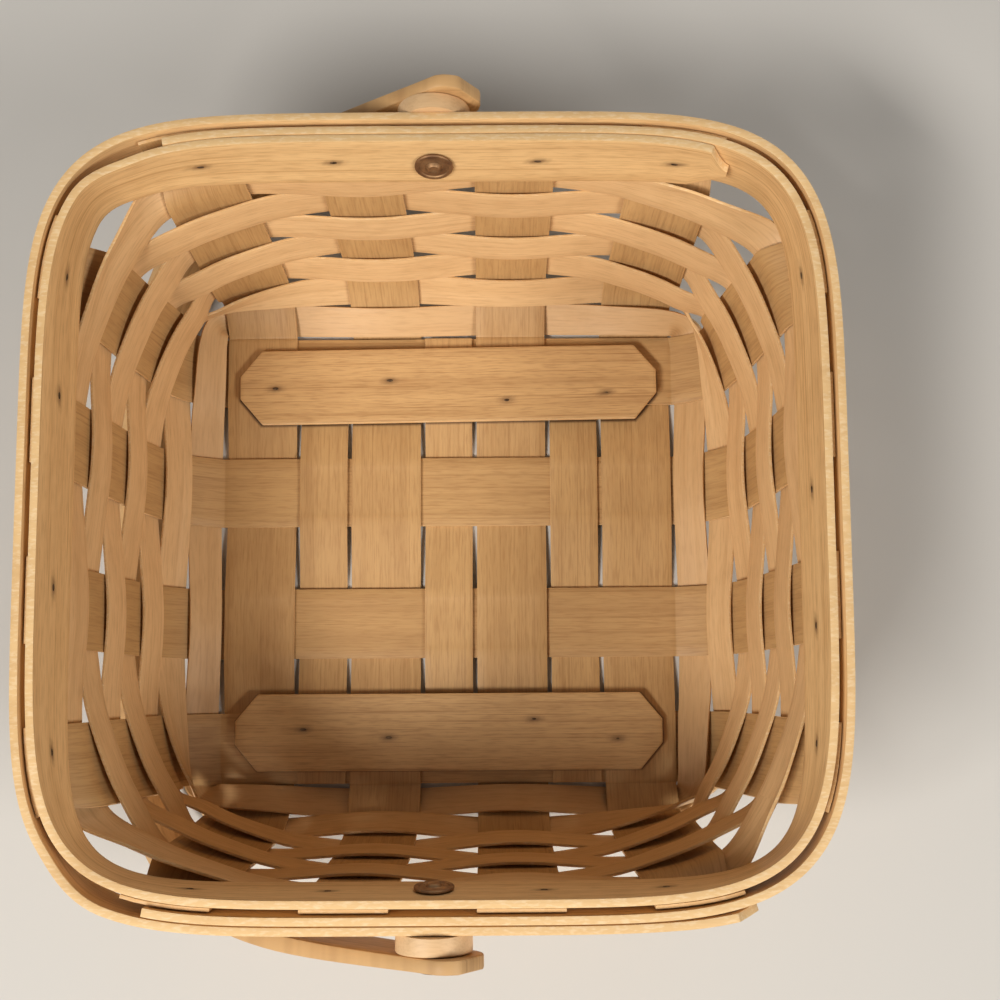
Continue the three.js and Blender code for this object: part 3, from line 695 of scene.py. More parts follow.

# %% [markdown]
# The seven rows start in turn inside and outside the same upright. The lowest one is given the
# darkest tone.

# %% The seven weaver rows
WEAVER_EDGE = 0.22
WEAVER_LIFT = 0.4
WEAVER_AGES = (0.8, 0.35, 0.1, 0.25, 0.05, 0.3, 0.15)
WEAVER_COLUMNS = 5
random.seed(7)
weaver_pieces = []
for row in range(ROW_COUNT):
    low = ROW_START + row * ROW_SPACING
    levels = [level_at(low + WEAVER_WIDTH * step / (WEAVER_COLUMNS - 1))
              for step in range(WEAVER_COLUMNS)]
    sections = off_table(weaver_sections(row, levels), WEAVER_THICKNESS + WEAVER_LIFT)
    piece = strip(f"weaver_{row + 1}", sections, WEAVER_THICKNESS, WEAVER_EDGE, closed=True,
                  tone=7 + row * 0.29, age_and_shade=WEAVER_AGES[row])
    dress(piece, "basket", "weaver", f"weaver_row_{row + 1}")
    weaver_pieces.append(piece)

print("weaver rows:", len(weaver_pieces))

# %% [markdown]
# The rim is two bentwood bands, one inside the uprights and one outside. Each is a single strip
# that goes round past its own start and laps over it, and its free end is clipped to a blunt
# point. Tacks hold the layers together and leave small dark marks in the wood.

# %% Where the bands and their tacks lie
BAND_THICKNESS = 3.2
BAND_EASE = 0.75
LAP_GAP = 0.4
LAYER = SPLINT_THICKNESS / 2 + BAND_EASE + BAND_THICKNESS / 2
LAYER_STEP = BAND_THICKNESS + LAP_GAP
RIM_TACK_SHARES = {
    "right": (-0.6, -0.3, 0.05, 0.62),
    "far": (0.63, 0.27, -0.26, -0.61),
    "left": (0.63, 0.31, -0.19, -0.61),
    "near": (-0.6, -0.26, 0.27, 0.57),
}
INSIDE_LAYERS = {"right": 1, "far": 2, "left": 1, "near": 1}
PIVOT_HEIGHT = (BAND_BOTTOM + RIM_HEIGHT) / 2


def inner_face_offset(side):
    return -(LAYER + BAND_THICKNESS / 2 + (INSIDE_LAYERS[side] - 1) * LAYER_STEP)


def rim_tacks():
    """Name, place, direction into the basket and grain direction of each rim tack."""
    tacks = []
    for side, shares in RIM_TACK_SHARES.items():
        for number, share in enumerate(shares):
            half = WALL_TOP_HALF_X if side in ("far", "near") else WALL_TOP_HALF_Y
            spot = side_spot(side, share * half, PIVOT_HEIGHT)
            place = wall_point(spot, PIVOT_HEIGHT, inner_face_offset(side))
            inward = -outward(wall_point(spot, PIVOT_HEIGHT, 0))
            grain = inward.cross(Vector((0, 0, 1))).normalized()
            tacks.append((f"rim_tack_{side}_{number + 1}", place, inward, grain))
    return tacks


tacks = rim_tacks()
print("rim tacks:", len(tacks), "pivot height", round(PIVOT_HEIGHT, 1), "mm")

# %% [markdown]
# A band is described by its place round the rim, counted in uprights. Past its own start it
# moves one layer on, and towards its end it narrows to the clipped point. The lines stand closer
# together there, because the cut is short and its edge has to stay crisp.

# %% The lines of a band
LAP_RAMP_START = 0.6
LAP_RAMP_END = 0.15
TIP_TOP_PLACES = 0.1
TIP_BOTTOM_PLACES = 0.18
TIP_SHARE = 0.16
TIP_STEPS = 9
SPRING_PLACES = 0.6
LINES_PER_UPRIGHT = 26
LEAST_GAP = 0.03
BAND_COLUMNS = 13


def band_sections(start, end, offset, step, spring, hollow):
    """Lines up the band along its way round. Hollow is how much the end's top cut curves in."""
    way = 1 if end > start else -1
    lap_start = start + way * UPRIGHT_COUNT
    tip_start = end - way * TIP_BOTTOM_PLACES
    places = [start]
    first = math.floor(start * LINES_PER_UPRIGHT) / LINES_PER_UPRIGHT
    for count in range(1, int(abs(end - start) * LINES_PER_UPRIGHT) + 2):
        place = first + way * count / LINES_PER_UPRIGHT
        if min((place - start) * way, (tip_start - place) * way) > LEAST_GAP:
            places.append(place)
    places += [tip_start + way * TIP_BOTTOM_PLACES * step_on / TIP_STEPS
               for step_on in range(TIP_STEPS + 1)]
    sections = []
    for place in places:
        passed = (place - lap_start) * way
        left = abs(end - place)
        layer = offset + step * smoothstep(passed, -LAP_RAMP_START, -LAP_RAMP_END)
        layer += spring * max(0, 1 - left / SPRING_PLACES) ** 2
        top = TIP_SHARE + (1 - TIP_SHARE) * min(1, left / TIP_TOP_PLACES) ** hollow
        bottom = TIP_SHARE + (1 - TIP_SHARE) * min(1, left / TIP_BOTTOM_PLACES)
        half = (RIM_HEIGHT - BAND_BOTTOM) / 2
        index = math.floor(place)
        line = []
        for column in range(BAND_COLUMNS):
            level = PIVOT_HEIGHT + half * (-bottom + (top + bottom) * column / (BAND_COLUMNS - 1))
            spot = spot_between(index, place - index, level, plan(level)[3])
            line.append(wall_point(spot, level, layer))
        sections.append(line)
    return sections


print("a band goes round", UPRIGHT_COUNT, "uprights and then laps over itself")

# %% [markdown]
# Each band starts and ends where the photograph shows it. Only the inner band is marked by the
# tacks, because their points come through there, and only the outer one's end springs away.

# %% The two bands
INNER_BAND = (7.07, -12.23)
OUTER_BAND = (11.93, 31.22)
INNER_HOLLOW = 1.8
OUTER_HOLLOW = 1
OUTER_TIP_SPRING = 1
BAND_EDGE = 0.6
BAND_STAIN = 1.4
band_marks = [(place, grain, BAND_STAIN) for _, place, _, grain in tacks]
inner_lines = band_sections(*INNER_BAND, -LAYER, -LAYER_STEP, 0, INNER_HOLLOW)
inner_band = strip("inner_band", inner_lines, BAND_THICKNESS, BAND_EDGE, tone=10.2,
                   marks=band_marks)
dress(inner_band, "basket", "band", "inner_rim_band")
outer_lines = band_sections(*OUTER_BAND, LAYER, LAYER_STEP, OUTER_TIP_SPRING, OUTER_HOLLOW)
outer_band = strip("outer_band", outer_lines, BAND_THICKNESS, BAND_EDGE, tone=11.4)
dress(outer_band, "basket", "band", "outer_rim_band")
print("band faces:", len(inner_band.data.polygons), len(outer_band.data.polygons))

# %% [markdown]
# Two slats are nailed across the base to stiffen it. A tack's place on its slat is given in
# shares of half the length and half the width, so that the tacks stay with the slat.

# %% The slats' sizes
SLAT_LENGTH = 192
SLAT_WIDTH = 34.5
SLAT_THICKNESS = 3
SLAT_OFFSET = 79.8
SLAT_CORNER_X = 10
SLAT_CORNER_Y = 12
FAR_SLAT_TURN = math.radians(0.6)
SLAT_STEPS = 96
SLAT_CORNER_ROWS = 6
SLAT_MIDDLE_ROWS = 4
SLAT_WARP = 0.25
SLAT_EDGE = 0.5
SLAT_STAIN = 1.3
SLAT_BOTTOM = BASE_LEVEL + CROSS_LIFT + SPLINT_THICKNESS / 2 + SEAT_GAP
SLAT_TACK_SHARES = {
    "far": ((-0.83, -0.04), (-0.28, 0.13), (0.28, -0.46), (0.76, -0.3)),
    "near": ((-0.68, 0.08), (-0.28, -0.14), (0.4, 0.32), (0.79, -0.2)),
}
print("a slat is", SLAT_LENGTH, "by", SLAT_WIDTH, "by", SLAT_THICKNESS, "mm")

# %% [markdown]
# The corners are clipped by hand, and thin dry wood warps a little. A box with cut corners would
# have to be bent afterwards. In a grid, the rows near the edges are simply shorter, and each
# point is lifted to where the warp puts it before the slat gets its thickness.

# %% Base slats
slat_tacks = []
slat_pieces = []
for side, y_middle, turn in (("far", SLAT_OFFSET, FAR_SLAT_TURN), ("near", -SLAT_OFFSET, 0)):
    spin = Matrix.Rotation(turn, 3, "Z")
    centre = Vector((0, y_middle, 0))
    flat = SLAT_WIDTH / 2 - SLAT_CORNER_Y
    heights = [-SLAT_WIDTH / 2 + (SLAT_WIDTH / 2 - flat) * share / SLAT_CORNER_ROWS
               for share in range(SLAT_CORNER_ROWS)]
    heights += [flat * share / SLAT_MIDDLE_ROWS
                for share in range(-SLAT_MIDDLE_ROWS, SLAT_MIDDLE_ROWS + 1)]
    heights += [-y for y in heights[:SLAT_CORNER_ROWS][::-1]]
    sections = []
    for step in range(SLAT_STEPS + 1):
        share = step / (SLAT_STEPS / 2) - 1
        line = []
        for y in heights:
            clip = max(0, (abs(y) - flat) / SLAT_CORNER_Y)
            x = share * (SLAT_LENGTH / 2 - SLAT_CORNER_X * clip)
            warp = SLAT_WARP * math.sin(2.2 * share + y / 30)
            place = spin @ Vector((x, y, 0)) + centre
            height = SLAT_BOTTOM + SLAT_THICKNESS / 2 + SLAT_WARP + warp
            line.append(Vector((place.x, place.y, height)))
        sections.append(line)
    marks = []
    for number, (share_x, share_y) in enumerate(SLAT_TACK_SHARES[side]):
        place = spin @ Vector((share_x * SLAT_LENGTH / 2, share_y * SLAT_WIDTH / 2, 0)) + centre
        place.z = SLAT_BOTTOM + SLAT_THICKNESS + SLAT_WARP
        grain = spin @ Vector((1, 0, 0))
        marks.append((place, grain, SLAT_STAIN))
        slat_tacks.append((f"slat_tack_{side}_{number + 1}", place, Vector((0, 0, 1)), grain))
    piece = strip(f"slat_{side}", sections, SLAT_THICKNESS, SLAT_EDGE,
                  tone=13 + y_middle * 0.004, marks=marks)
    dress(piece, "basket", "slat", f"base_slat_{side}")
    slat_pieces.append(piece)

print("slats:", len(slat_pieces), "slat tacks:", len(slat_tacks))

# %% [markdown]
# Where a tack comes through, its point is bent over and hammered flat, so all that shows is a
# small dark sliver in a brown stain. Each one starts as a sphere and is flattened to a sliver,
# because a hammered point has no sharp edge left.

# %% Clenched tack points
POINT_SIZE = (1.4, 0.6, 0.3)
tack_pieces = []
for name, place, normal, grain in tacks + slat_tacks:
    bpy.ops.object.select_all(action="DESELECT")
    bpy.ops.mesh.primitive_uv_sphere_add(segments=12, ring_count=8, radius=MM)
    piece = lone(f"point_{name}")
    edit_all()
    bpy.ops.transform.resize(value=POINT_SIZE)
    bpy.ops.object.mode_set(mode="OBJECT")
    turned = Matrix((grain, normal.cross(grain), normal)).transposed().to_4x4()
    piece.data.transform(Matrix.Translation(place * MM) @ turned)
    finish_piece(piece, 60)
    dress(piece, "basket", "tack", name)
    tack_pieces.append(piece)

print("tack points:", len(tack_pieces))

# %% [markdown]
# The bail is one bentwood strip. How long and how wide it is follows from what it has to clear:
# the rim's side when it stands out level, the bushings at its ends, and the basket's foot when it
# lies folded down to the left, with its lowest edge just clear of the table.

# %% Where the bail pivots and rests
HANDLE_WIDTH = 25
HANDLE_THICKNESS = 6.6
HANDLE_END_THICKNESS = 5.2
HANDLE_TAPER_RUN = 70
HANDLE_REACH = 17.4
HANDLE_LANDING = 33.7
HANDLE_TAIL = 17.5
HANDLE_TIP_CLIP = 6.5
HANDLE_POWER = 3.8
HANDLE_EDGE = 1
TABLE_CLEARANCE = 0.4
BUSHING_LENGTH = 8.6


def face_at_pivot(side, offset):
    """Middle of a side's face at the pivot height, and the slope of that face."""
    low = wall_point(side_spot(side, 0, BAND_BOTTOM), BAND_BOTTOM, offset)
    high = wall_point(side_spot(side, 0, RIM_HEIGHT), RIM_HEIGHT, offset)
    share = (PIVOT_HEIGHT - low.z) / (high.z - low.z)
    normal = Vector((1, 0, 0)).cross(high - low).normalized()
    if normal.y * low.y < 0:
        normal.negate()
    return low.lerp(high, share), normal


FAR_FACE = face_at_pivot("far", LAYER + BAND_THICKNESS / 2)
NEAR_FACE = face_at_pivot("near", LAYER + BAND_THICKNESS / 2 + LAYER_STEP)
HANDLE_INNER_HALF = max(FAR_FACE[0].y, -NEAR_FACE[0].y) + BUSHING_LENGTH + 2 * SEAT_GAP
HANDLE_HALF = HANDLE_INNER_HALF + HANDLE_END_THICKNESS / 2
HANDLE_LENGTH = max(
    WALL_TOP_HALF_X + LAYER + BAND_THICKNESS / 2 + HANDLE_REACH,
    math.hypot(PIVOT_HEIGHT - HANDLE_WIDTH / 2, BASE_HALF + HANDLE_LANDING),
)


def rest_angle():
    drop = PIVOT_HEIGHT - TABLE_CLEARANCE
    angles = []
    for shorter, narrower in ((HANDLE_EDGE, 0), (0, HANDLE_EDGE)):
        reach = HANDLE_LENGTH + HANDLE_THICKNESS / 2 - shorter
        half = HANDLE_WIDTH / 2 - narrower
        angles.append(math.asin(drop / math.hypot(reach, half)) - math.atan2(half, reach))
    return min(angles)


REST = rest_angle()
print("bail rests at", round(math.degrees(REST), 1), "degrees below level")

# %% [markdown]
# The bail is thick over the top of its arch and shaved thinner at the arms, and its ends are
# clipped round the pivots. It is made like the other strips, along a rounded arch, and its
# thickness is given as a share at each step.

# %% Bail handle
ARCH_STEPS = 120
BAIL_COLUMNS = 7
BAIL_ROUNDING = 1.1
# How far back from the end each line stands, and how much of the clip it still has
TAIL_CUTS = ((0, 1), (0.9, 0.72), (2.4, 0.42), (4.4, 0.16), (7, 0))


def folded(x, y, z):
    """Turns a point of the bail's own frame down to its rest on the table."""
    return Vector((
        x * math.cos(REST) - z * math.sin(REST),
        y,
        PIVOT_HEIGHT + x * math.sin(REST) + z * math.cos(REST),
    ))


handle_line = []
for back, clip in TAIL_CUTS:
    handle_line.append((HANDLE_TAIL - back, HANDLE_HALF, HANDLE_WIDTH - 2 * HANDLE_TIP_CLIP * clip))
tail = [(x, -y, width) for x, y, width in handle_line[::-1]]
for step in range(ARCH_STEPS + 1):
    angle = math.pi * step / ARCH_STEPS
    y = math.copysign(abs(math.cos(angle)) ** (2 / HANDLE_POWER), math.cos(angle))
    x = max(0, math.sin(angle)) ** (2 / HANDLE_POWER)
    if step in (0, ARCH_STEPS):
        x = 0
    handle_line.append((-x * HANDLE_LENGTH, y * HANDLE_HALF, HANDLE_WIDTH))
handle_line += tail
sections = [
    [folded(x, y, width * (column / (BAIL_COLUMNS - 1) - 0.5)) for column in range(BAIL_COLUMNS)]
    for x, y, width in handle_line
]
shares = []
for x, _, _ in handle_line:
    run = min(1, max(0, -x / HANDLE_TAPER_RUN))
    thickness = HANDLE_END_THICKNESS + (HANDLE_THICKNESS - HANDLE_END_THICKNESS) * run
    shares.append(thickness / HANDLE_THICKNESS)
bail = strip("bail", sections, HANDLE_THICKNESS, BAIL_ROUNDING, tone=16.0,
             thickness_shares=shares)
dress(bail, "handle", "handle", "handle")
print("bail lines:", len(sections), "arms", round(HANDLE_HALF, 1), "mm from the middle")

# %% [markdown]
# The bushings and rivets are round, so they are turned: a disc is extruded up and scaled at each
# step of the profile, as a lathe tool would cut it. Spinning an outline round the axis gives the
# same shape, but can leave a seam to weld. The rivet holes are drilled with a cylinder.

# %% Turning and drilling
SHANK_SIDES = 32
DRILL_LENGTH = 60


def turned_piece(name, profile, sides, direction, place):
    """A round piece from pairs of radius and height, set along a direction from a place."""
    radius, height = profile[0]
    bpy.ops.object.select_all(action="DESELECT")
    bpy.ops.mesh.primitive_circle_add(vertices=sides, radius=radius * MM, fill_type="NGON",
                                      location=(0, 0, height * MM))
    piece = lone(name)
    bpy.ops.object.transform_apply(location=True, rotation=True, scale=True)
    edit_all()
    for (before, low), (after, high) in zip(profile, profile[1:]):
        rise = (0, 0, (high - low) * MM)
        bpy.ops.mesh.extrude_region_move(TRANSFORM_OT_translate={"value": rise})
        scale = after / before
        bpy.ops.transform.resize(value=(scale, scale, 1), center_override=(0, 0, high * MM))
    bpy.ops.mesh.select_all(action="SELECT")
    bpy.ops.mesh.normals_make_consistent(inside=False)
    bpy.ops.object.mode_set(mode="OBJECT")
    turn = Vector((0, 0, 1)).rotation_difference(direction).to_matrix().to_4x4()
    piece.data.transform(Matrix.Translation(place * MM) @ turn)
    return piece


def bore(piece, radius, middle_y):
    """Drills a hole through a piece at the pivot height, along the far-to-near line."""
    bpy.ops.object.select_all(action="DESELECT")
    place = (0, middle_y * MM, PIVOT_HEIGHT * MM)
    bpy.ops.mesh.primitive_cylinder_add(vertices=SHANK_SIDES, radius=radius * MM,
                                        depth=DRILL_LENGTH * MM, location=place,
                                        rotation=(math.pi / 2, 0, 0))
    drill = lone("drill")
    apply_modifier(piece, "BOOLEAN", object=drill, operation="DIFFERENCE", solver="EXACT")
    bpy.data.objects.remove(drill)


print("turning and drilling at", round(PIVOT_HEIGHT, 1), "mm above the table")

# %% [markdown]
# A bushing keeps the bail off the rim, and one rivet goes through bands, bushing and bail. The
# bushing is turned too long and then cut to the band's lean. The rivet's head inside the basket
# is ringed and has a small raised centre. The tail outside the bail is hammered to a low dome.

# %% Bushings and rivets
BUSHING_RADIUS = 14
RIVET_RADIUS = 2.6
BUSHING_SIDES = 64
HEAD_SIDES = 48
SHANK_INSET = 0.2
SHANK_RUN_ON = 0.4
HOLE_RADIUS = RIVET_RADIUS + SEAT_GAP
OUTER_SEAT = HANDLE_INNER_HALF + HANDLE_END_THICKNESS + SEAT_GAP
# Pairs of how much narrower and how far from the outer end
BUSHING_ROUNDING = ((0, 0.8), (0.25, 0.25), (0.9, 0))
# Pairs of radius and height
HEAD_PROFILE = [(6.9, 0), (7.35, 0.35), (7.4, 0.9), (7.1, 1.3), (6.3, 1.45), (5.8, 1.3),
                (5.5, 0.95), (5.0, 0.95), (3.6, 1.3), (3.1, 1.15), (2.85, 1.3), (2.6, 1.95),
                (2.2, 2.3), (1.2, 2.25), (0.35, 1.8)]
TAIL_PROFILE = [(6.5, 0), (6.5, 0.6), (6.0, 1.1), (4.6, 1.6), (1.5, 1.8)]
for side, way, (point, normal) in (("far", 1, FAR_FACE), ("near", -1, NEAR_FACE)):
    start = point.y - way * BUSHING_RADIUS
    length = abs(way * (HANDLE_INNER_HALF - SEAT_GAP) - start)
    profile = [(BUSHING_RADIUS, 0)]
    profile += [(BUSHING_RADIUS - narrower, length - back) for narrower, back in BUSHING_ROUNDING]
    axis = Vector((0, way, 0))
    bushing = turned_piece(f"bushing_{side}_turned", profile, BUSHING_SIDES, axis,
                           Vector((0, start, PIVOT_HEIGHT)))
    # The hole comes first, while both ends are flat, because the slanted end isn't quite
    bore(bushing, HOLE_RADIUS, start + way * length / 2)
    bushing.select_set(True)
    edit_all()
    bpy.ops.mesh.bisect(plane_co=(point + normal * SEAT_GAP) * MM, plane_no=normal,
                        use_fill=True, clear_inner=True)
    bpy.ops.object.mode_set(mode="OBJECT")
    finish_piece(bushing, 35)
    dress(bushing, "basket", "bushing", f"bushing_{side}")

    inner_point, inner_normal = face_at_pivot(side, inner_face_offset(side))
    inward = -inner_normal
    head = turned_piece(f"rivet_{side}_inner_head", HEAD_PROFILE, HEAD_SIDES, inward,
                        inner_point + inward * SEAT_GAP)
    outer_head = turned_piece(f"rivet_{side}_outer_head", TAIL_PROFILE, HEAD_SIDES, axis,
                              Vector((0, way * OUTER_SEAT, PIVOT_HEIGHT)))
    shank_start = inner_point.y + way * SHANK_INSET
    shank_length = abs(way * OUTER_SEAT - shank_start) + SHANK_RUN_ON
    shank = turned_piece(f"rivet_{side}_shank", [(RIVET_RADIUS, 0), (RIVET_RADIUS, shank_length)],
                         SHANK_SIDES, axis, Vector((0, shank_start, PIVOT_HEIGHT)))
    for piece in (head, outer_head, shank):
        finish_piece(piece, 30)
        dress(piece, "basket", "rivet", f"rivet_{side}")
    for piece in (bail, inner_band, outer_band):
        bore(piece, HOLE_RADIUS, (shank_start + way * OUTER_SEAT) / 2)
    print(side, "bushing length", round(length, 1), "mm")

# %% [markdown]
# All the wood is maple, a close and even wood. Split along the grain it shows short fine flecks,
# soft streaks a few millimetres wide, and blotches where hands and food have darkened it. Colours
# are written as the sRGB values the eye sees and turned to linear by one function.

# %% Helpers for the finishes
def linear(colour):
    channels = [int(colour[start:start + 2], 16) / 255 for start in (1, 3, 5)]
    curved = [c / 12.92 if c <= 0.04045 else ((c + 0.055) / 1.055) ** 2.4 for c in channels]
    return (*curved, 1)


def add(tree, kind, inputs=None, **settings):
    """Adds one node, sets it and links it."""
    node = tree.nodes.new(kind)
    for key, value in settings.items():
        setattr(node, key, value)
    for socket, value in (inputs or {}).items():
        if isinstance(value, bpy.types.NodeSocket):
            tree.links.new(value, node.inputs[socket])
        else:
            node.inputs[socket].default_value = value
    return node


def new_material(name):
    material = bpy.data.materials.new(name)
    material.use_nodes = True
    tree = material.node_tree
    tree.nodes.clear()
    return material, tree


print("helpers ready, mid grey is", round(linear("#808080")[0], 3), "in linear light")

# %% [markdown]
# Painted shade darkens the splints along the slats, where the gap under a slat's edge is dark.
# It could be painted on by hand, but the slats' outline is known, so nodes can measure how far
# a place is from it. Each line of the table is one sum, and it may use the ones above it.

# %% How far a place is from a slat
# How far the painted shade reaches in under the slats' long edges, in millimetres
PAINTED_SHADE_UNDER_SLAT = 0.7


def slat_outline(tree):
    """Millimetres from the nearer base slat's clipped outline, outside it."""
    place = add(tree, "ShaderNodeTexCoord").outputs["Object"]
    axes = add(tree, "ShaderNodeSeparateXYZ", {0: place}).outputs
    slope = math.hypot(SLAT_CORNER_X, SLAT_CORNER_Y)
    corner = SLAT_CORNER_Y * SLAT_LENGTH / 2 + SLAT_CORNER_X * (SLAT_WIDTH / 2 - SLAT_CORNER_Y)
    values = {"x": axes["X"], "y": axes["Y"]}
    for name, operation, first, second in (
        ("along", "MULTIPLY", "x", 1000),
        ("along", "ABSOLUTE", "along", 0),
        ("is_far", "GREATER_THAN", "y", 0),
        ("turn", "MULTIPLY", "x", 1000 * math.sin(FAR_SLAT_TURN)),
        ("turn", "MULTIPLY", "turn", "is_far"),
        ("across", "MULTIPLY", "y", 1000),
        ("across", "SUBTRACT", "across", "turn"),
        ("across", "ABSOLUTE", "across", 0),
        ("across", "SUBTRACT", "across", SLAT_OFFSET),
        ("across", "ABSOLUTE", "across", 0),
        ("clip_along", "MULTIPLY", "along", SLAT_CORNER_Y / slope),
        ("clip_across", "MULTIPLY", "across", SLAT_CORNER_X / slope),
        ("clipped", "ADD", "clip_along", "clip_across"),
        ("corners", "SUBTRACT", "clipped", corner / slope),
        ("ends", "SUBTRACT", "along", SLAT_LENGTH / 2),
        ("edges", "SUBTRACT", "across", SLAT_WIDTH / 2 - PAINTED_SHADE_UNDER_SLAT),
        ("outline", "MAXIMUM", "ends", "edges"),
        ("outline", "MAXIMUM", "outline", "corners"),
    ):
        inputs = {0: values[first], 1: values.get(second, second)}
        values[name] = add(tree, "ShaderNodeMath", inputs, operation=operation).outputs[0]
    return values["outline"]


print("the slats' middles lie", SLAT_OFFSET, "mm from the basket's middle")

# %% [markdown]
# The flecks are 0.4 mm wide and 5 mm long, about as fine as the picture can show. The streaks are
# 3 mm by 90 mm and the blotches 9 mm by 14 mm. Thin grain lines, 0.6 to 0.9 mm wide, run along
# the strip. Real ones are finer, but finer ones would not show in the picture. Age, with painted
# shade on the splints, and nail stains come from the values that each strip holds on its own
# points, and the bump follows the flecks. Maple has an IOR of about 1.5, and worn bare wood is
# fairly rough. A picture of wood could be wrapped round instead, but stretched noise needs no file
# and never repeats. On the splints a last layer paints shade along the slats' outline.

# %% Maple
NAIL_STAIN = "#5c3a1e"
# Painted shade along the slats' outline, where the gap under each slat lies dark
PAINTED_SLAT_SHADE = "#3a1d0b"
# Noise of scale 1 has spots of about this many millimetres
SPOT_SIZE = 500


def maple(name, pale, tan, brown, fleck="#8a5c30", fleck_size=(5, 0.4), flecks=0.3, streaks=0.3,
          blotches=0.25, lines=0.35, roughness=0.5, uses_uv=True, paints_slat_shade=False):
    material, tree = new_material(name)
    if uses_uv:
        place = add(tree, "ShaderNodeUVMap", uv_map="Grain").outputs["UV"]
    else:
        place = add(tree, "ShaderNodeTexCoord").outputs["Object"]
    noise = {}
    for mark, length, width, detail, rough, twist in (
        ("fleck", *fleck_size, 2, 0.5, 0),
        ("streak", 90, 3, 3, 0.5, 0.3),
        ("long line", 130, 0.9, 2, 0.5, 0.2),
        ("short line", 60, 0.6, 1, 0.5, 0.15),
        ("blotch", 14, 9, 4, 0.6, 0),
        ("tone", 120, 60, 2, 0.5, 0),
    ):
        scale = (SPOT_SIZE / length, SPOT_SIZE / width, SPOT_SIZE / width)
        stretched = add(tree, "ShaderNodeMapping", {"Vector": place, "Scale": scale})
        noise[mark] = add(tree, "ShaderNodeTexNoise", {
            "Vector": stretched.outputs[0], "Scale": 1, "Detail": detail, "Roughness": rough,
            "Distortion": twist}).outputs["Fac"]
    # On the splints this value is partly painted shade as well as age
    age_and_shade = add(tree, "ShaderNodeAttribute", attribute_name="age_and_shade").outputs["Fac"]
    stain = add(tree, "ShaderNodeAttribute", attribute_name="stain").outputs["Fac"]
    # A colour, the value it follows, where that begins and is full, and its share there
    layers = [
        (pale, noise["tone"], 0, 1, 1),
        (brown, noise["streak"], 0.42, 0.75, streaks),
        (brown, noise["long line"], 0.5, 0.8, streaks),
        (brown, noise["blotch"], 0.5, 0.75, blotches),
        (fleck, noise["fleck"], 0.48, 0.68, flecks),
        (brown, noise["short line"], 0.6, 0.7, lines),
        (brown, age_and_shade, 0, 1, 0.5),
        (NAIL_STAIN, stain, 0.03, 0.9, 0.85),
    ]
    if paints_slat_shade:
        # A last layer of painted shade along the slats' outline
        layers.append((PAINTED_SLAT_SHADE, slat_outline(tree), 1.5, 0.3, 0.9))
    colour = linear(tan)
    for other, value, low, high, most in layers:
        share = add(tree, "ShaderNodeMapRange", {"Value": value, "From Min": low,
                                                 "From Max": high, "To Max": most})
        colour = add(tree, "ShaderNodeMix", {"Factor": share.outputs[0], "A": colour,
                                             "B": linear(other)},
                     data_type="RGBA").outputs["Result"]
    bump = add(tree, "ShaderNodeBump", {"Height": noise["fleck"], "Strength": 0.3,
                                        "Distance": 0.0002})
    shine = add(tree, "ShaderNodeMapRange", {"Value": noise["blotch"], "To Min": roughness - 0.08,
                                             "To Max": roughness + 0.14})
    shader = add(tree, "ShaderNodeBsdfPrincipled", {"Base Color": colour, "IOR": 1.5,
                                                    "Roughness": shine.outputs[0],
                                                    "Normal": bump.outputs[0]})
    add(tree, "ShaderNodeOutputMaterial", {"Surface": shader.outputs[0]})
    return material


# The ninth layer is painted shade along the slats' outline
print("maple: 6 noises, tinted in 8 layers, and in 9 where shade is painted along the slats")

# %% [markdown]
# One wood, several tones. The splints have darkened most, the weavers stay pale and a little
# pink, and the bands and the bail are planed stock with a golden tone. The cut edges show broken
# fibres that catch the light, so edges get a paler wood with pale flecks.

# %% Maple in its tones
# The splints take the painted shade along the slats
splint_maple = maple("maple_splint", "#d8b07b", "#c09862", "#966b3e", paints_slat_shade=True)
weaver_maple = maple("maple_weaver", "#ecc897", "#deb481", "#b18551", flecks=0.2, streaks=0.22,
                     blotches=0.25, lines=0.2)
band_maple = maple("maple_band", "#efca92", "#e2b780", "#b3854f", flecks=0.25, lines=0.5)
slat_maple = maple("maple_slat", "#d9b17c", "#c79d68", "#976a3c", flecks=0.35, lines=0.5)
bail_maple = maple("maple_bail", "#dab17b", "#c79d6a", "#966a3e")
edge_maple = maple("maple_cut_edge", "#edca95", "#deb57d", "#b28450", fleck="#fbe9c8",
                   fleck_size=(1.6, 0.5), flecks=0.3, streaks=0.2, lines=0, roughness=0.65,
                   uses_uv=False)
bushing_maple = maple("maple_turned", "#e6c396", "#dab182", "#bb8f60", flecks=0.12, streaks=0.2,
                      blotches=0.15, lines=0.15, uses_uv=False)
for pieces, material, edges in (
    (splint_pieces, splint_maple, edge_maple), (weaver_pieces, weaver_maple, edge_maple),
    ([inner_band, outer_band], band_maple, edge_maple), (slat_pieces, slat_maple, edge_maple),
    ([bail], bail_maple, bail_maple),
):
    for piece in pieces:
        piece.data.materials[0], piece.data.materials[1] = material, edges
for side in ("far", "near"):
    bpy.data.objects[f"bushing_{side}_turned"].data.materials.append(bushing_maple)
print("maple tones: 7")

# %% [markdown]
# The rivets are steel with an antique bronze plating, rubbed brighter where the handle moves.
# The tack points are plain steel that has gone dark and rusty in the damp wood. Both are one
# finish with two colours that a noise mixes, because worn metal is brighter only in patches.

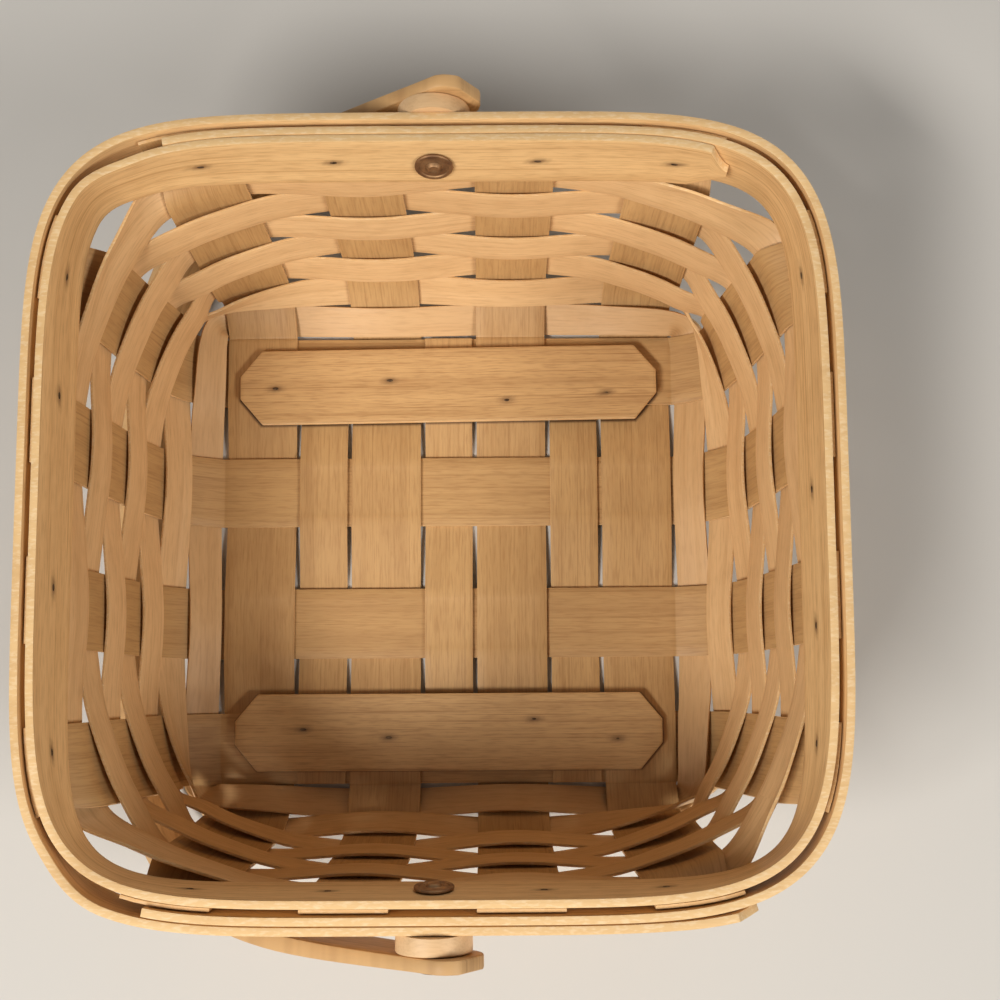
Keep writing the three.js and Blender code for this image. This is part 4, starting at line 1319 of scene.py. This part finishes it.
# %% Metals
def old_metal(name, dark, bright, roughness, patch):
    """Plated metal, worn in patches whose size is given in millimetres."""
    material, tree = new_material(name)
    place = add(tree, "ShaderNodeTexCoord").outputs["Object"]
    wear = add(tree, "ShaderNodeTexNoise", {"Vector": place, "Scale": 1000 / patch, "Detail": 5.0})
    worn = add(tree, "ShaderNodeMapRange", {"Value": wear.outputs["Fac"], "From Min": 0.35,
                                            "From Max": 0.7})
    colour = add(tree, "ShaderNodeMix", {"Factor": worn.outputs[0], "A": linear(dark),
                                         "B": linear(bright)}, data_type="RGBA")
    dull = add(tree, "ShaderNodeMapRange", {"Value": wear.outputs["Fac"],
                                            "To Min": roughness + 0.15, "To Max": roughness - 0.1})
    bump = add(tree, "ShaderNodeBump", {"Height": wear.outputs["Fac"], "Strength": 0.2,
                                        "Distance": 0.0002})
    shader = add(tree, "ShaderNodeBsdfPrincipled", {"Base Color": colour.outputs["Result"],
                                                    "Metallic": 0.8, "Roughness": dull.outputs[0],
                                                    "Normal": bump.outputs[0]})
    add(tree, "ShaderNodeOutputMaterial", {"Surface": shader.outputs[0]})
    return material


bronze = old_metal("antique_bronze", "#75563e", "#a5825d", 0.55, 5.0)
tack_steel = old_metal("dark_tack_steel", "#3a2a1e", "#75604a", 0.6, 1.5)
for piece in tack_pieces:
    piece.data.materials.append(tack_steel)
for side in ("far", "near"):
    for part in ("inner_head", "outer_head", "shank"):
        bpy.data.objects[f"rivet_{side}_{part}"].data.materials.append(bronze)
print("metals: 2")

# %% [markdown]
# The basket stands on a plain pale floor. Two long soft lamps on the near side light it as in the
# photograph: the near wall's inner face falls into shadow and the right side is the brightest. A
# low lamp behind keeps the outside of the far wall clear and hardly reaches the inside. Far from
# the basket the floor fades out, so that it meets the pale background without a line.

# %% Floor and light
FLOOR_SIZE = 6
FADE_START = 0.45
FADE_END = 1.6
bpy.ops.object.select_all(action="DESELECT")
bpy.ops.mesh.primitive_plane_add(size=FLOOR_SIZE, location=(0, 0, 0))
floor = lone("floor")
floor_paint, tree = new_material("pale_floor")
shader = add(tree, "ShaderNodeBsdfPrincipled", {"Base Color": linear("#cfcdca"), "Roughness": 0.9})
place = add(tree, "ShaderNodeTexCoord").outputs["Object"]
distance = add(tree, "ShaderNodeVectorMath", {0: place}, operation="LENGTH")
fade = add(tree, "ShaderNodeMapRange", {"Value": distance.outputs["Value"],
                                        "From Min": FADE_START, "From Max": FADE_END},
           interpolation_type="SMOOTHSTEP")
clear = add(tree, "ShaderNodeBsdfTransparent")
surface = add(tree, "ShaderNodeMixShader", {0: fade.outputs[0], 1: shader.outputs[0],
                                            2: clear.outputs[0]})
add(tree, "ShaderNodeOutputMaterial", {"Surface": surface.outputs[0]})
floor.data.materials.append(floor_paint)


def area_lamp(name, place, target, size, watts, colour):
    """A soft lamp aimed at a target. Places and sizes are in metres."""
    bpy.ops.object.light_add(type="AREA", location=place)
    lamp = bpy.context.object
    lamp.name = name
    lamp.data.shape = "RECTANGLE"
    lamp.data.size, lamp.data.size_y = size
    lamp.data.energy = watts
    lamp.data.color = linear(colour)[:3]
    lamp.rotation_euler = (Vector(target) - Vector(place)).to_track_quat("-Z", "Y").to_euler()


area_lamp("near_left_lamp", (-0.85, -0.85, 1.4), (0, 0, 0.05), (0.9, 0.3), 29, "#fffaf2")
area_lamp("near_right_lamp", (1.2, -0.85, 1.25), (0, 0, 0.05), (0.9, 0.3), 19, "#fffaf2")
area_lamp("back_lamp", (1.0, 4.2, 0.55), (0, 0, 0.1), (2.4, 0.6), 36, "#fdfbf6")
print("lamps: 3, floor fades from", FADE_START, "to", FADE_END, "m")

# %% [markdown]
# The world is the pale background. It gives the object hardly any light of its own: Light Path
# makes it brighter only for what the camera sees past the floor and for reflections.

# %% World
WORLD_LIGHT = 0.05
EXTRA_SEEN = 0.7
EXTRA_MIRRORED = 0.45
world = bpy.data.worlds.new("studio")
bpy.context.scene.world = world
world.use_nodes = True
tree = world.node_tree
tree.nodes.clear()
rays = add(tree, "ShaderNodeLightPath").outputs
seen = add(tree, "ShaderNodeMath", {0: rays["Is Camera Ray"], 1: EXTRA_SEEN, 2: WORLD_LIGHT},
           operation="MULTIPLY_ADD")
strength = add(tree, "ShaderNodeMath", {0: rays["Is Glossy Ray"], 1: EXTRA_MIRRORED,
                                        2: seen.outputs[0]}, operation="MULTIPLY_ADD")
sky = add(tree, "ShaderNodeBackground", {"Color": linear("#f4f2ee"),
                                         "Strength": strength.outputs[0]})
add(tree, "ShaderNodeOutputWorld", {"Surface": sky.outputs[0]})
bpy.context.scene.view_settings.view_transform = "Standard"
print("the camera sees the world at", round(WORLD_LIGHT + EXTRA_SEEN, 2))

# %% [markdown]
# The camera stands where the photograph was taken: 57 cm up, a little right of the basket's
# middle and a hand's breadth towards the near side, looking almost straight down. The shift sets
# the frame over the basket without tilting the camera. The frame is taken to be 1000 pixels wide.

# %% Camera
FRAME_PIXELS = 1000
SENSOR_WIDTH = 36
FOCAL_PIXELS = 1250
CENTRE_PIXELS = (510.58, 605.95)
CAMERA_PLACE = Vector((29.135, -80.563, 571.68)) * MM
CAMERA_TURN = Vector((-0.101298, 0.002075, -0.0066606))
lens_turn = Matrix.Rotation(CAMERA_TURN.length, 3, CAMERA_TURN.normalized())
view_rows = lens_turn @ Matrix(((1, 0, 0), (0, -1, 0), (0, 0, -1)))
axes = Matrix((view_rows[0], -view_rows[1], -view_rows[2])).transposed()
bpy.ops.object.camera_add(location=CAMERA_PLACE)
camera = bpy.context.object
camera.matrix_world = Matrix.Translation(CAMERA_PLACE) @ axes.to_4x4()
camera.data.sensor_width = SENSOR_WIDTH
camera.data.lens = SENSOR_WIDTH * FOCAL_PIXELS / FRAME_PIXELS
camera.data.shift_x = (FRAME_PIXELS / 2 - CENTRE_PIXELS[0]) / FRAME_PIXELS
camera.data.shift_y = (CENTRE_PIXELS[1] - FRAME_PIXELS / 2) / FRAME_PIXELS
camera.data.clip_start = 0.01
bpy.context.scene.camera = camera
print("camera height", round(CAMERA_PLACE.z, 3), "m")
